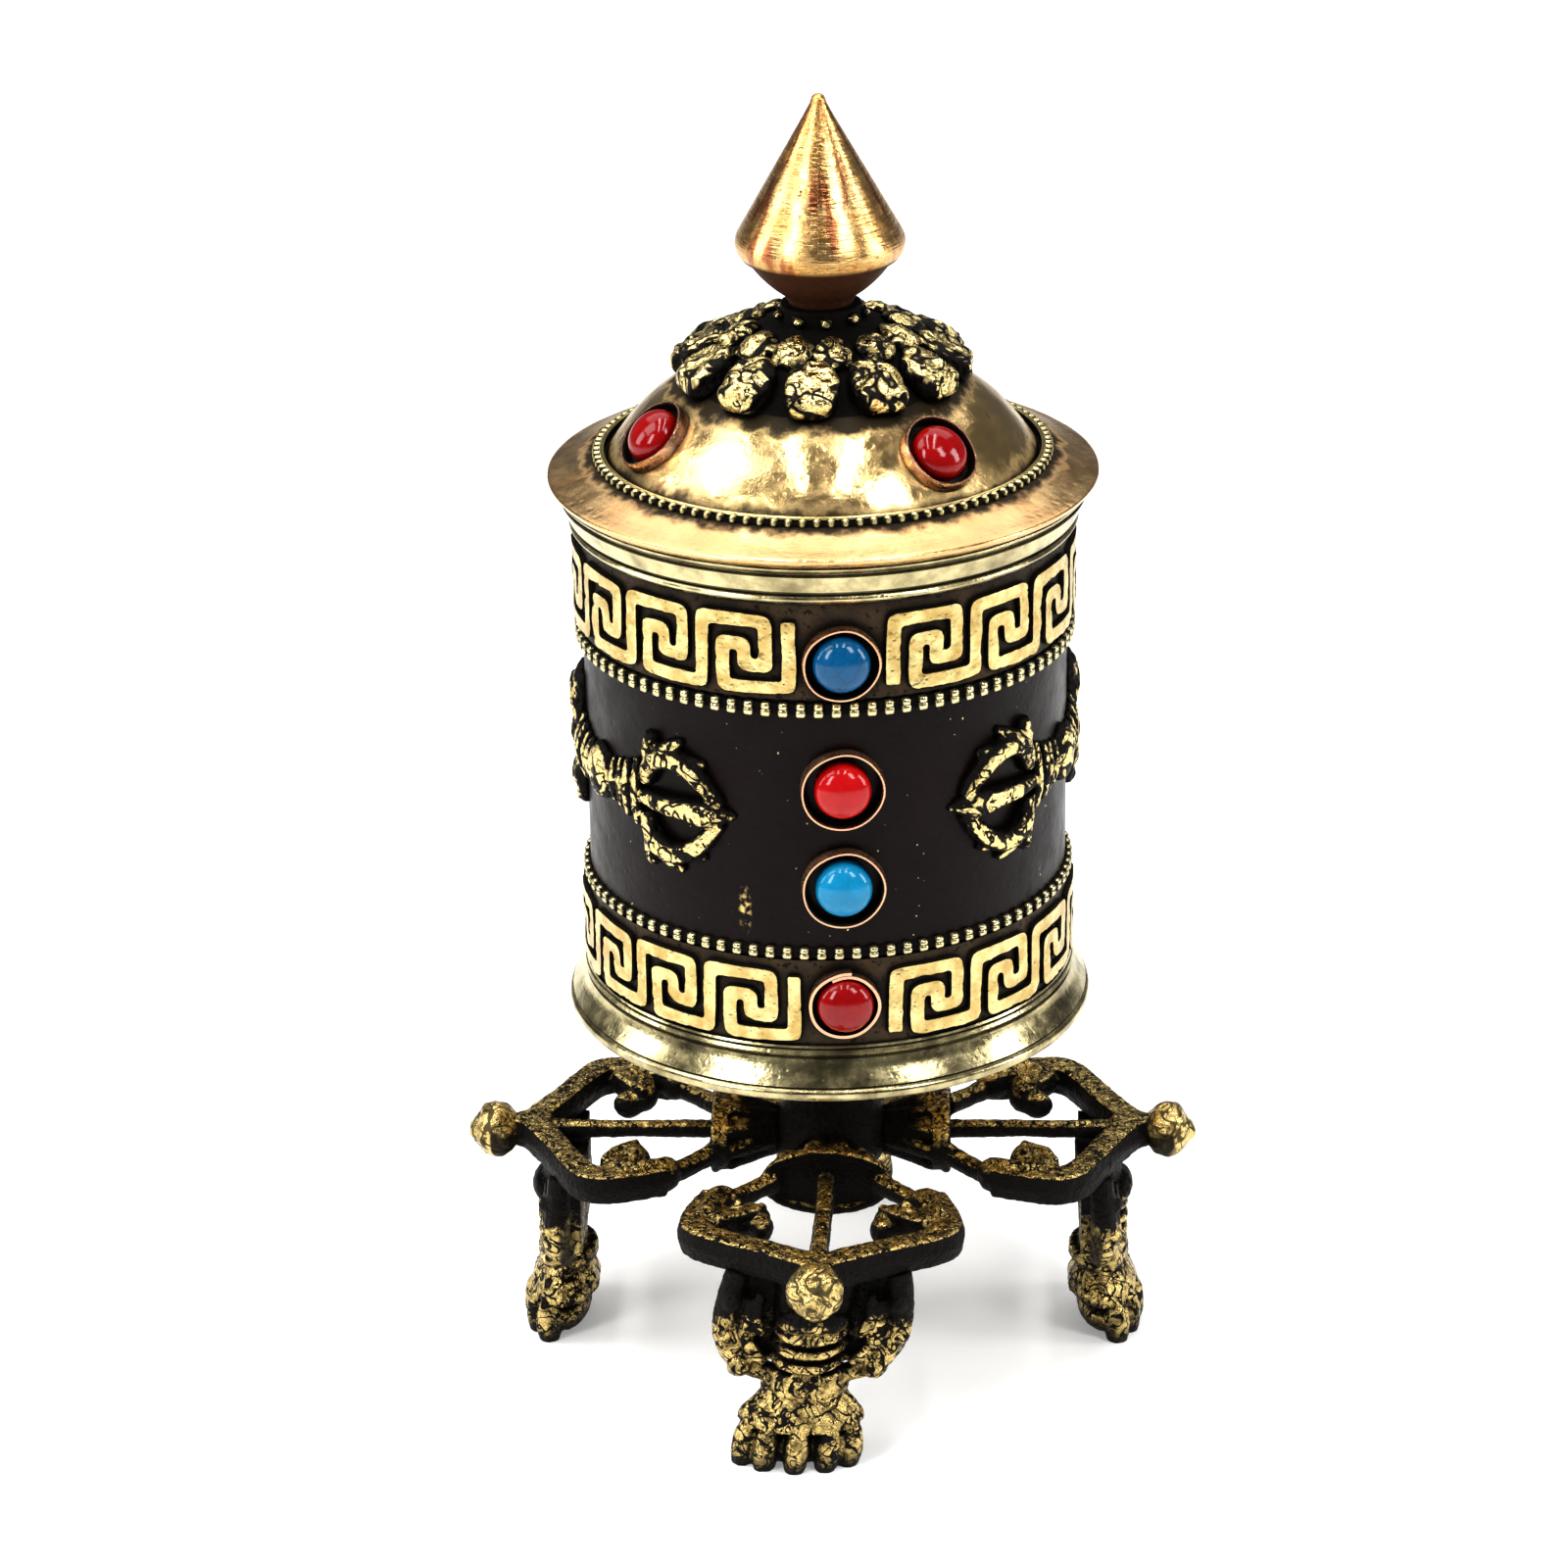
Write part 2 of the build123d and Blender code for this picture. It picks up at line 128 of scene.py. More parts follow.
class WheelColours(bpy.types.PropertyGroup):
    """Colours of the finishes."""

    pale_brass: colour_setting("Pale brass", "Polished mouldings", (0.66, 0.57, 0.31))
    fret_brass: colour_setting("Fret brass", "Raised fretwork", (0.74, 0.62, 0.29))
    wire_brass: colour_setting("Wire brass", "Beaded rings", (0.56, 0.50, 0.29))
    cast_gold: colour_setting("Cast gold", "Rubbed high spots of the stand", (0.74, 0.55, 0.21))
    cast_brown: colour_setting("Cast brown", "Unrubbed skin of the stand", (0.045, 0.027, 0.011))
    relief_gold: colour_setting("Relief gold", "Appliques and lotus cap", (0.88, 0.69, 0.30))
    # Black: the patina of the recesses, and also the colour that all painted shade goes to.
    black: colour_setting("Black patina and painted shade", "Patina and painted shade in the recesses", (0.004, 0.003, 0.002))
    dome_bronze: colour_setting("Dome bronze", "Dome of the lid", (0.76, 0.53, 0.24))
    brim_copper: colour_setting("Brim copper", "Brim of the lid", (0.78, 0.53, 0.25))
    finial_copper: colour_setting("Finial copper", "Pointed knob", (0.68, 0.38, 0.13))
    copper_orange: colour_setting("Copper orange", "Warm patches of the brim", (0.66, 0.30, 0.11))
    fret_tarnish: colour_setting("Fret tarnish", "Brown patches of the fretwork", (0.46, 0.31, 0.10))
    copper_dark: colour_setting("Copper dark", "Old tarnish of the knob", (0.050, 0.018, 0.008))
    copper_red: colour_setting("Copper red", "Red tarnish on the copper", (0.36, 0.10, 0.045))
    collar_copper: colour_setting("Collar copper", "Strips round the stones", (0.72, 0.38, 0.24))
    shell_dark: colour_setting("Dark shell", "Middle of the drum", (0.0070, 0.0028, 0.0022))
    coral: colour_setting("Coral", "Bright red stones", (0.50, 0.006, 0.007))
    crimson: colour_setting("Crimson", "Deep red stones", (0.29, 0.003, 0.004))
    deep_blue: colour_setting("Deep blue", "Upper blue stones", (0.002, 0.095, 0.23))
    light_blue: colour_setting("Light blue", "Middle blue stones", (0.006, 0.25, 0.47))
    paper: colour_setting("Paper", "Rolled scroll", (0.74, 0.62, 0.40))
    thread: colour_setting("Thread", "Tie of the scroll", (0.42, 0.05, 0.04))
    steel: colour_setting("Steel", "Spindle", (0.52, 0.51, 0.49))
    floor: colour_setting("Floor", "Studio floor", (0.86, 0.86, 0.85))


def sizes():
    return bpy.context.scene.wheel_sizes


def colours():
    return bpy.context.scene.wheel_colours


# ---------------------------------------------------------------- modelling helpers
def clear_selection():
    """Object mode with nothing selected."""
    if bpy.context.mode != "OBJECT":
        bpy.ops.object.mode_set(mode="OBJECT")
    bpy.ops.object.select_all(action="DESELECT")


def select_only(*pieces):
    """Selects these pieces, with the first one active."""
    clear_selection()
    for piece in pieces:
        piece.select_set(True)
    bpy.context.view_layer.objects.active = pieces[0]


def active():
    return bpy.context.active_object


def apply_place(piece):
    """Puts the piece's place, turn and scale into its mesh."""
    select_only(piece)
    bpy.ops.object.transform_apply(location=True, rotation=True, scale=True)


def ball(radius, place, scale=(1, 1, 1), turn=(0, 0, 0), segments=20, rings=10):
    """Stretched ball at a place."""
    clear_selection()
    bpy.ops.mesh.primitive_uv_sphere_add(
        segments=segments, ring_count=rings, radius=radius, location=place, rotation=turn, scale=scale
    )
    apply_place(active())
    return active()


def bar(points, radii, flatten=1.0):
    """Round bar along a smooth line, its height scaled by flatten about its own plane z = 0."""
    curve = bpy.data.curves.new("bar", "CURVE")
    curve.dimensions = "3D"
    curve.bevel_depth = 1.0
    curve.bevel_resolution = 3
    curve.use_fill_caps = True
    spline = curve.splines.new("NURBS")
    spline.points.add(len(points) - 1)
    for point, place, radius in zip(spline.points, points, radii):
        point.co = (*place, 1)
        point.radius = radius
    spline.use_endpoint_u = True
    spline.order_u = min(3, len(points))
    spline.resolution_u = 6
    piece = bpy.data.objects.new("bar", curve)
    bpy.context.scene.collection.objects.link(piece)
    select_only(piece)
    bpy.ops.object.convert(target="MESH")
    piece = active()
    piece.scale.z = flatten
    apply_place(piece)
    return piece


def join(pieces, name):
    """One object of several."""
    select_only(*pieces)
    if len(pieces) > 1:
        bpy.ops.object.join()
    active().name = name
    return active()


def modify(piece, kind, **settings):
    """Adds a modifier with these settings and applies it."""
    select_only(piece)
    modifier = piece.modifiers.new(kind.title(), kind)
    for key, value in settings.items():
        setattr(modifier, key, value)
    bpy.ops.object.modifier_apply(modifier=modifier.name)


def roughen(piece, size, depth):
    """Pushes the skin in and out by a soft noise of this size."""
    texture = bpy.data.textures.new("grain", "CLOUDS")
    texture.noise_scale = size
    texture.noise_depth = 2
    modify(piece, "DISPLACE", texture=texture, strength=depth, mid_level=0.5, texture_coords="LOCAL")


def cast(piece, voxel, smooth=2, grains=()):
    """Melts overlapping parts into one skin, softens it and gives it a cast grain."""
    modify(piece, "REMESH", mode="VOXEL", voxel_size=voxel, adaptivity=0.0)
    if smooth:
        modify(piece, "SMOOTH", factor=0.5, iterations=smooth)
    for size, depth in grains:
        roughen(piece, size, depth)


def level(piece, axis, lowest, highest):
    """Presses every point beyond two levels of an axis back to the level, as a file leaves it."""
    for vertex in piece.data.vertices:
        vertex.co[axis] = min(max(vertex.co[axis], lowest), highest)


def block(size, place, edge, turn=(0, 0, 0), taper=0.0, rounds=1, cuts=0):
    """A rounded block; taper narrows both of its ends along y, and cuts gives it points to be shaped by."""
    clear_selection()
    bpy.ops.mesh.primitive_cube_add(size=1, scale=size)
    apply_place(active())
    piece = active()
    modify(piece, "BEVEL", width=edge, segments=rounds, profile=0.6)
    select_only(piece)
    if cuts:
        bpy.ops.object.mode_set(mode="EDIT")
        bpy.ops.mesh.select_all(action="SELECT")
        bpy.ops.mesh.subdivide(number_cuts=cuts)
        bpy.ops.object.mode_set(mode="OBJECT")
    for vertex in piece.data.vertices:
        vertex.co.x *= 1 - taper * (2 * vertex.co.y / size[1]) ** 2
    piece.rotation_euler = turn
    piece.location = place
    apply_place(piece)
    return piece


def lathe(name, profile, steps=160, bevel=0.0):
    """Turns a profile of (radius, height) corners about the wheel's axis."""
    clear_selection()
    bpy.ops.mesh.primitive_plane_add(size=1)
    piece = active()
    piece.name = name
    bpy.ops.object.mode_set(mode="EDIT")
    bpy.ops.mesh.select_all(action="SELECT")
    bpy.ops.mesh.merge(type="CENTER")
    bpy.ops.transform.translate(value=(profile[0][0], 0, profile[0][1]))
    for (r0, z0), (r1, z1) in zip(profile, profile[1:]):
        bpy.ops.mesh.extrude_vertices_move(TRANSFORM_OT_translate={"value": (r1 - r0, 0, z1 - z0)})
    bpy.ops.mesh.select_all(action="SELECT")
    bpy.ops.mesh.spin(steps=steps, angle=2 * pi, center=(0, 0, 0), axis=(0, 0, 1))
    bpy.ops.mesh.select_all(action="SELECT")
    bpy.ops.mesh.remove_doubles(threshold=0.002)
    bpy.ops.mesh.normals_make_consistent(inside=False)
    bpy.ops.object.mode_set(mode="OBJECT")
    if bevel:
        modify(piece, "BEVEL", width=bevel, segments=3, limit_method="ANGLE", angle_limit=radians(24))
    return piece


def outwards(degrees, rise=0):
    """Direction away from the axis; zero is the front, and rise lifts it, both in degrees."""
    turn, lift = radians(degrees), radians(rise)
    return Vector((sin(turn) * cos(lift), -cos(turn) * cos(lift), sin(lift)))


def flowing(points, steps=5):
    """The points with a smooth line drawn through them."""
    line = []
    for index in range(len(points) - 1):
        before = points[max(index - 1, 0)]
        start, end = points[index], points[index + 1]
        after = points[min(index + 2, len(points) - 1)]
        for step in range(steps):
            t = step / steps
            line.append(
                tuple(
                    0.5 * (
                        2 * s + (e - b) * t + (
                            2 * b - 5 * s + 4 * e - a
                        ) * t * t + (3 * s - b - 3 * e + a) * t ** 3
                    ) for b,
                    s, e, a in zip(before, start, end, after)
                )
            )
    line.append(tuple(points[-1]))
    return line


def copy_turned(piece, degrees):
    """A copy with its own mesh, turned about the wheel's axis."""
    twin = piece.copy()
    twin.data = piece.data.copy()
    twin.name = "twin"
    bpy.context.scene.collection.objects.link(twin)
    twin.data.transform(Matrix.Rotation(radians(degrees), 4, "Z"))
    return twin


def ring_of(piece, count, name):
    """Copies of a piece in a full ring about the wheel's axis, in one object."""
    twins = [piece] + [copy_turned(piece, 360 * step / count) for step in range(1, count)]
    return join(twins, name)


def wrap_round_drum(piece, radius, turn):
    """Bends a flat piece round the drum: its x runs round, its y runs up and its z stands out."""
    for vertex in piece.data.vertices:
        x, y, z = vertex.co
        angle = x / SHELL_R + radians(turn)
        reach = radius + z
        vertex.co = (reach * sin(angle), -reach * cos(angle), y)


def place_facing(piece, position, outward):
    """Moves a piece modelled about its own z axis so that z faces outwards at a position."""
    turn = Vector((0, 0, 1)).rotation_difference(Vector(outward).normalized()).to_matrix().to_4x4()
    piece.data.transform(Matrix.Translation(position) @ turn)


def finish(piece, name, material, body, *nodes, smooth=35, slot=None):
    """Names a piece, brings it to metres, shades it, and ties it to its body and its CAD nodes."""
    piece.name = name
    piece.data.name = name
    piece.data.transform(Matrix.Scale(1 / MM, 4))
    select_only(piece)
    bpy.ops.object.shade_smooth_by_angle(angle=radians(smooth))
    piece.data.materials.clear()
    piece.data.materials.append(material)
    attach(piece, body)
    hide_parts(*nodes)
    return piece


def paint(material, *nodes):
    """Gives CAD nodes a finish; they keep their shape."""
    for name in nodes:
        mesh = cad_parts[name].data
        mesh.materials.clear()
        mesh.materials.append(material)


# ---------------------------------------------------------------- shader helpers
def node(tree, kind, inputs=None, **settings):
    """A shader node; an input is a value, or a socket to link from."""
    made = tree.nodes.new(kind)
    for key, value in settings.items():
        setattr(made, key, value)
    for key, value in (inputs or {}).items():
        if isinstance(value, bpy.types.NodeSocket):
            tree.links.new(value, made.inputs[key])
        else:
            made.inputs[key].default_value = value
    return made


def maths(tree, operation, *values):
    """A Math node's result."""
    return node(tree, "ShaderNodeMath", dict(enumerate(values)), operation=operation).outputs[0]


def times(tree, first, second):
    return maths(tree, "MULTIPLY", first, second)


def plus(tree, first, second):
    return maths(tree, "ADD", first, second)


def minus(tree, first, second):
    return maths(tree, "SUBTRACT", first, second)


def larger(tree, first, second):
    return maths(tree, "MAXIMUM", first, second)


def ratio(tree, first, second):
    return maths(tree, "DIVIDE", first, second)


def blend(tree, factor, first, second):
    """Mix of two colours."""
    mix = node(tree, "ShaderNodeMix", data_type="RGBA")
    for socket, value in ((mix.inputs[0], factor), (mix.inputs[6], first), (mix.inputs[7], second)):
        if isinstance(value, bpy.types.NodeSocket):
            tree.links.new(value, socket)
        else:
            socket.default_value = value
    return mix.outputs[2]


def ramp(tree, value, start, end, first=0.0, last=1.0):
    """Smooth step of a value from first to last between start and end."""
    settings = {"Value": value, "From Min": start, "From Max": end, "To Min": first, "To Max": last}
    return node(tree, "ShaderNodeMapRange", settings, interpolation_type="SMOOTHSTEP").outputs[0]


def noise(tree, place, scale, detail, rough=0.5, drift=0.0):
    """Soft noise at a place; a larger scale is a finer noise."""
    settings = {"Vector": place, "Scale": scale, "Detail": detail, "Roughness": rough, "Distortion": drift}
    return node(tree, "ShaderNodeTexNoise", settings).outputs[0]


def vectors(tree, operation, first, second=None):
    """The results of a Vector Math node."""
    inputs = {0: first} if second is None else {0: first, 1: second}
    return node(tree, "ShaderNodeVectorMath", inputs, operation=operation).outputs


def socket_kind(label):
    """A place is a vector, and everything else that a group takes or gives is a number."""
    return "NodeSocketVector" if label == "Place" else "NodeSocketFloat"


def group(name, inputs, outputs):
    """A new node group with named sockets: its tree, its input sockets and its output node."""
    tree = bpy.data.node_groups.new(name, "ShaderNodeTree")
    for label, default in inputs.items():
        socket = tree.interface.new_socket(name=label, in_out="INPUT", socket_type=socket_kind(label))
        if default is not None:
            socket.default_value = default
    for label in outputs:
        tree.interface.new_socket(name=label, in_out="OUTPUT", socket_type=socket_kind(label))
    return tree, tree.nodes.new("NodeGroupInput").outputs, tree.nodes.new("NodeGroupOutput")


def give(tree, out, *values):
    """Links values to the outputs of a group, in their order."""
    for value, socket in zip(values, out.inputs):
        tree.links.new(value, socket)


def use(tree, group_name, **inputs):
    """Places a node group; keyword names use _ for a space."""
    placed = node(tree, "ShaderNodeGroup", node_tree=bpy.data.node_groups[group_name])
    for key, value in inputs.items():
        socket = placed.inputs[key.replace("_", " ")]
        if isinstance(value, bpy.types.NodeSocket):
            tree.links.new(value, socket)
        else:
            socket.default_value = value
    return placed.outputs


def group_millimetres():
    """Where a point of the surface is, in millimetres and round the axis."""
    tree, _, out = group("Millimetres", {}, ("Place", "Radius", "Height", "Turn"))
    coordinates = node(tree, "ShaderNodeTexCoord").outputs["Object"]
    place = node(tree, "ShaderNodeVectorMath", {0: coordinates, "Scale": MM}, operation="SCALE").outputs[0]
    x, y, height = node(tree, "ShaderNodeSeparateXYZ", {0: place}).outputs
    radius = maths(tree, "SQRT", plus(tree, times(tree, x, x), times(tree, y, y)))
    give(tree, out, place, radius, height, maths(tree, "ARCTAN2", x, y))


def group_patches():
    """Cloudy patches of a size that cover a share of the surface."""
    inputs = {"Place": None, "Size": 5.0, "Cover": 0.5, "Softness": 0.15, "Detail": 5.0}
    tree, source, out = group("Patches", inputs, ("Mask",))
    cloud = noise(tree, source["Place"], ratio(tree, 1.0, source["Size"]), source["Detail"], rough=0.62)
    edge = minus(tree, 1.0, source["Cover"])
    start = minus(tree, edge, source["Softness"])
    end = plus(tree, edge, source["Softness"])
    give(tree, out, ramp(tree, cloud, start, end))


def group_recess_and_edge():
    """Hollows and grooves, found by ambient occlusion and curvature, where dirt stays and where the occlusion
    also paints their shade, and edges, which are worn first.
    """
    tree, source, out = group("Recess And Edge", {"Reach": 1.5, "Depth": 0.5}, ("Recess", "Edge"))
    reach = ratio(tree, source["Reach"], MM)
    # Ambient occlusion: hollows and gaps between parts go dark as painted shade, over their real patina.
    shade = node(tree, "ShaderNodeAmbientOcclusion", {"Distance": reach}, samples=6).outputs["AO"]
    hollow = ramp(tree, shade, source["Depth"], 0.92, 1.0, 0.0)
    point = node(tree, "ShaderNodeNewGeometry").outputs["Pointiness"]
    groove = ramp(tree, point, 0.40, 0.49, 1.0, 0.0)
    give(tree, out, larger(tree, hollow, groove), ramp(tree, point, 0.515, 0.60))


def group_lit_and_rubbed():
    """Skin that looks up or away from the axis: painted light, bright on faces that look up or out and dark
    on the sides, and also where hands rub it.
    """
    inputs = {"Up": 1.0, "Out": 1.0, "Start": 0.25, "End": 0.85}
    tree, source, out = group("Lit And Rubbed", inputs, ("Mask",))
    coordinates = node(tree, "ShaderNodeTexCoord").outputs
    flat = vectors(tree, "MULTIPLY", coordinates["Object"], (1.0, 1.0, 0.0))[0]
    away = vectors(tree, "NORMALIZE", flat)[0]
    facing = vectors(tree, "DOT_PRODUCT", away, coordinates["Normal"])["Value"]
    rise = node(tree, "ShaderNodeSeparateXYZ", {0: coordinates["Normal"]}).outputs[2]
    # Painted light: the more a face looks up or out, the brighter it is left.
    lit_and_rubbed = larger(tree, times(tree, rise, source["Up"]), times(tree, facing, source["Out"]))
    give(tree, out, ramp(tree, lit_and_rubbed, source["Start"], source["End"]))


def group_cast_grain():
    """The grain and the small pits of a sand casting."""
    tree, source, out = group("Cast Grain", {"Place": None, "Size": 0.5}, ("Height", "Pits"))
    scale = ratio(tree, 1.0, source["Size"])
    grain = noise(tree, source["Place"], scale, 4.0, rough=0.6)
    cells = node(
        tree, "ShaderNodeTexVoronoi", {"Vector": source["Place"], "Scale": scale},
    ).outputs["Distance"]
    pits = ramp(tree, cells, 0.05, 0.35, 1.0, 0.0)
    give(tree, out, minus(tree, grain, times(tree, pits, 0.35)), pits)


def group_cracks():
    """Fine winding black lines, with finer ones between them here and there."""
    tree, source, out = group("Cracks", {"Place": None, "Size": 0.6}, ("Mask",))
    lines = []
    for share in (1.0, 0.45):
        wandering = noise(tree, source["Place"], ratio(tree, 1.0 / share, source["Size"]), 1.5, 0.55, 0.6)
        away = maths(tree, "ABSOLUTE", minus(tree, wandering, 0.5))
        lines.append(ramp(tree, away, 0.020, 0.060, 1.0, 0.0))
    here = ramp(tree, noise(tree, source["Place"], 0.6, 2.0), 0.48, 0.56)
    give(tree, out, larger(tree, lines[0], times(tree, lines[1], here)))


def group_turning_marks():
    """The rings that a lathe tool or a brush leaves."""
    tree, source, out = group("Turning Marks", {"Fineness": 8.0}, ("Height",))
    spot = use(tree, "Millimetres")
    along = times(tree, plus(tree, spot["Height"], spot["Radius"]), source["Fineness"])
    line = node(
        tree, "ShaderNodeCombineXYZ", {0: times(tree, spot["Turn"], 1.4), 1: along, 2: 0.0},
    ).outputs[0]
    give(tree, out, noise(tree, line, 1.0, 3.0, rough=0.7))


def build_groups():
    """The effects that the finishes share."""
    for build in (group_millimetres, group_patches, group_recess_and_edge, group_lit_and_rubbed, group_cast_grain,
                  group_cracks, group_turning_marks):
        build()


def patchy(tree, spot, size, cover, softness, **more):
    """Mask of cloudy patches of a size in millimetres that cover this share of the surface."""
    return use(tree, "Patches", Place=spot["Place"], Size=size, Cover=cover, Softness=softness, **more)[0]


def darker(colour, share):
    """A colour with its light cut to a share."""
    return [value * share for value in colour[:3]] + [1.0]


def new_material(name):
    """An empty node material: its tree and its shader."""
    material = bpy.data.materials.new(name)
    material.use_nodes = True
    tree = material.node_tree
    tree.nodes.clear()
    shader = node(tree, "ShaderNodeBsdfPrincipled")
    output = node(tree, "ShaderNodeOutputMaterial")
    tree.links.new(shader.outputs[0], output.inputs[0])
    return material, tree, shader


def wire(tree, shader, **sockets):
    """Links or sets sockets of a shader; keyword names use _ for a space."""
    for key, value in sockets.items():
        socket = shader.inputs[key.replace("_", " ")]
        if isinstance(value, bpy.types.NodeSocket):
            tree.links.new(value, socket)
        else:
            socket.default_value = value


def bump(tree, height, depth, normal=None):
    """Bump of a depth in millimetres."""
    inputs = {"Height": height, "Strength": 1.0, "Distance": depth / MM}
    made = node(tree, "ShaderNodeBump", inputs)
    if normal:
        tree.links.new(normal, made.inputs["Normal"])
    return made.outputs[0]


PATCH_SOFTNESS, FLECK_SOFTNESS, FLECK_STRENGTH = 0.16, 0.08, 0.85
GRIME_AND_SHADE_START, GRIME_AND_SHADE_ROUGHNESS, GRIME_AND_SHADE_DULLNESS = 0.06, 0.3, 0.95
METAL_IOR = 1.22                 # low, so that the dirt and the painted shade stay black


def metal(
    name, bright, tarnish, dark, *, reach=1.2, depth=0.45, patches=(6.0, 0.45, 0.5), flecks=(0.5, 0.2),
    rough=(0.18, 0.38), grain=(0.5, 0.04), marks=(8.0, 0.0), lift=0.35, lit_and_rubbed=(1.0, 1.0, 0.25, 0.85, 0.0),
    cracks=(0.6, 0.0), contrast=1.0, extra=None,
):
    """A worn metal: bright on faces that look up or out, as painted light and wear, tarnished in patches, and
    black in its recesses, as patina and painted shade.
    """
    material, tree, shader = new_material(name)
    spot = use(tree, "Millimetres")
    size, cover, strength = patches
    cloud = patchy(tree, spot, size, cover, PATCH_SOFTNESS)
    colour = blend(tree, times(tree, cloud, strength), bright, tarnish)
    relief = use(tree, "Recess And Edge", Reach=reach, Depth=depth)
    paler = [min(1.0, value * 1.25 + 0.04) for value in bright[:3]] + [1.0]
    colour = blend(tree, times(tree, relief["Edge"], lift), colour, paler)
    more = 0.0
    # extra paints shade where a finish asks for it, such as under the drum, the arms and the petals.
    if extra:
        colour, more = extra(tree, spot, colour)
    fleck_size, fleck_cover = flecks
    fleck = patchy(tree, spot, fleck_size, fleck_cover, FLECK_SOFTNESS, Detail=3.0)
    # The dark mask: patina and dirt in the hollows with painted shade from the occlusion, tarnish flecks,
    # cracks, and painted shade from extra and from the facing mask.
    grime_and_shade = larger(tree, relief["Recess"], times(tree, fleck, FLECK_STRENGTH))
    grime_and_shade = larger(tree, grime_and_shade, more)
    crack_size, cracked = cracks
    if cracked:
        lines = use(tree, "Cracks", Place=spot["Place"], Size=crack_size)[0]
        grime_and_shade = larger(tree, grime_and_shade, times(tree, lines, cracked))
    # Painted light and shade by facing: faces that look up or out stay bright, and the others go dark as
    # painted shade and as unworn skin.
    up, out, start, end, shaded_and_unrubbed = lit_and_rubbed
    if shaded_and_unrubbed:
        mask = use(tree, "Lit And Rubbed", Up=up, Out=out, Start=start, End=end)[0]
        grime_and_shade = larger(tree, grime_and_shade, times(tree, minus(tree, 1.0, mask), shaded_and_unrubbed))
    grime_and_shade = ramp(tree, grime_and_shade, GRIME_AND_SHADE_START, contrast)
    colour = blend(tree, grime_and_shade, colour, dark)
    smudge = patchy(tree, spot, size * 0.35, 0.5, 0.3)
    shine = plus(tree, times(tree, smudge, rough[1] - rough[0]), rough[0])
    shine = plus(tree, shine, times(tree, grime_and_shade, GRIME_AND_SHADE_ROUGHNESS))
    skin = use(tree, "Cast Grain", Place=spot["Place"], Size=grain[0])
    normal = bump(tree, skin["Height"], grain[1])
    if marks[1]:
        normal = bump(tree, use(tree, "Turning Marks", Fineness=marks[0])["Height"], marks[1], normal)
    metallic = minus(tree, 1.0, times(tree, grime_and_shade, GRIME_AND_SHADE_DULLNESS))
    wire(tree, shader, Base_Color=colour, Roughness=shine, Metallic=metallic, Normal=normal, IOR=METAL_IOR)
    return material


def stone(name, body_colour, vein_colour, vein_cover):
    """A polished cabochon: waxy, with cloudy colour, faint veins and a clear polish."""
    material, tree, shader = new_material(name)
    spot = use(tree, "Millimetres")
    cloud = patchy(tree, spot, 1.6, 0.5, 0.35)
    deeper = darker(body_colour, 0.72)
    colour = blend(tree, cloud, body_colour, deeper)
    cells = node(
        tree, "ShaderNodeTexVoronoi", {"Vector": spot["Place"], "Scale": 0.7}, feature="DISTANCE_TO_EDGE",
    ).outputs[0]
    vein = ramp(tree, cells, 0.0, 0.05, vein_cover, 0.0)
    colour = blend(tree, vein, colour, vein_colour)
    fine = patchy(tree, spot, 0.5, 0.5, 0.3)
    rough = plus(tree, times(tree, fine, 0.08), 0.07)
    normal = bump(tree, cloud, 0.015)
    wire(tree, shader, Base_Color=colour, Roughness=rough, Normal=normal)
    wire(tree, shader, Coat_Weight=0.12, Coat_Roughness=0.03, IOR=1.38)
    shader.inputs["Subsurface Weight"].default_value = 0.04
    shader.inputs["Subsurface Radius"].default_value = (0.6, 0.3, 0.2)
    shader.inputs["Subsurface Scale"].default_value = 0.001
    return material


def paper_material():
    """Rolled paper: warm fibres, and the edges of many turns on its ends."""
    material, tree, shader = new_material("rolled paper")
    spot = use(tree, "Millimetres")
    fibre = noise(tree, spot["Place"], 2.5, 6.0)
    turns = maths(tree, "SINE", times(tree, spot["Radius"], 9.0))
    dark = darker(colours().paper, 0.62)
    shade = times(tree, plus(tree, times(tree, turns, 0.25), fibre), 0.8)
    wire(tree, shader, Base_Color=blend(tree, shade, colours().paper, dark), Roughness=plus(tree, fibre, 0.3))
    wire(tree, shader, Normal=bump(tree, plus(tree, turns, fibre), 0.08))
    return material


def thread_material():
    """Wound thread round the scroll."""
    material, tree, shader = new_material("wound thread")
    spot = use(tree, "Millimetres")
    turns = maths(tree, "SINE", times(tree, spot["Height"], 14.0))
    slub = patchy(tree, spot, 0.8, 0.5, 0.3)
    dark = darker(colours().thread, 0.4)
    wire(
        tree, shader, Base_Color=blend(tree, slub, colours().thread, dark),
        Roughness=ramp(tree, turns, -1.0, 1.0, 0.85, 0.6),
    )
    wire(tree, shader, Normal=bump(tree, turns, 0.12))
    return material


SMEAR_TURN, SMEAR_HEIGHT = -18, 59.0


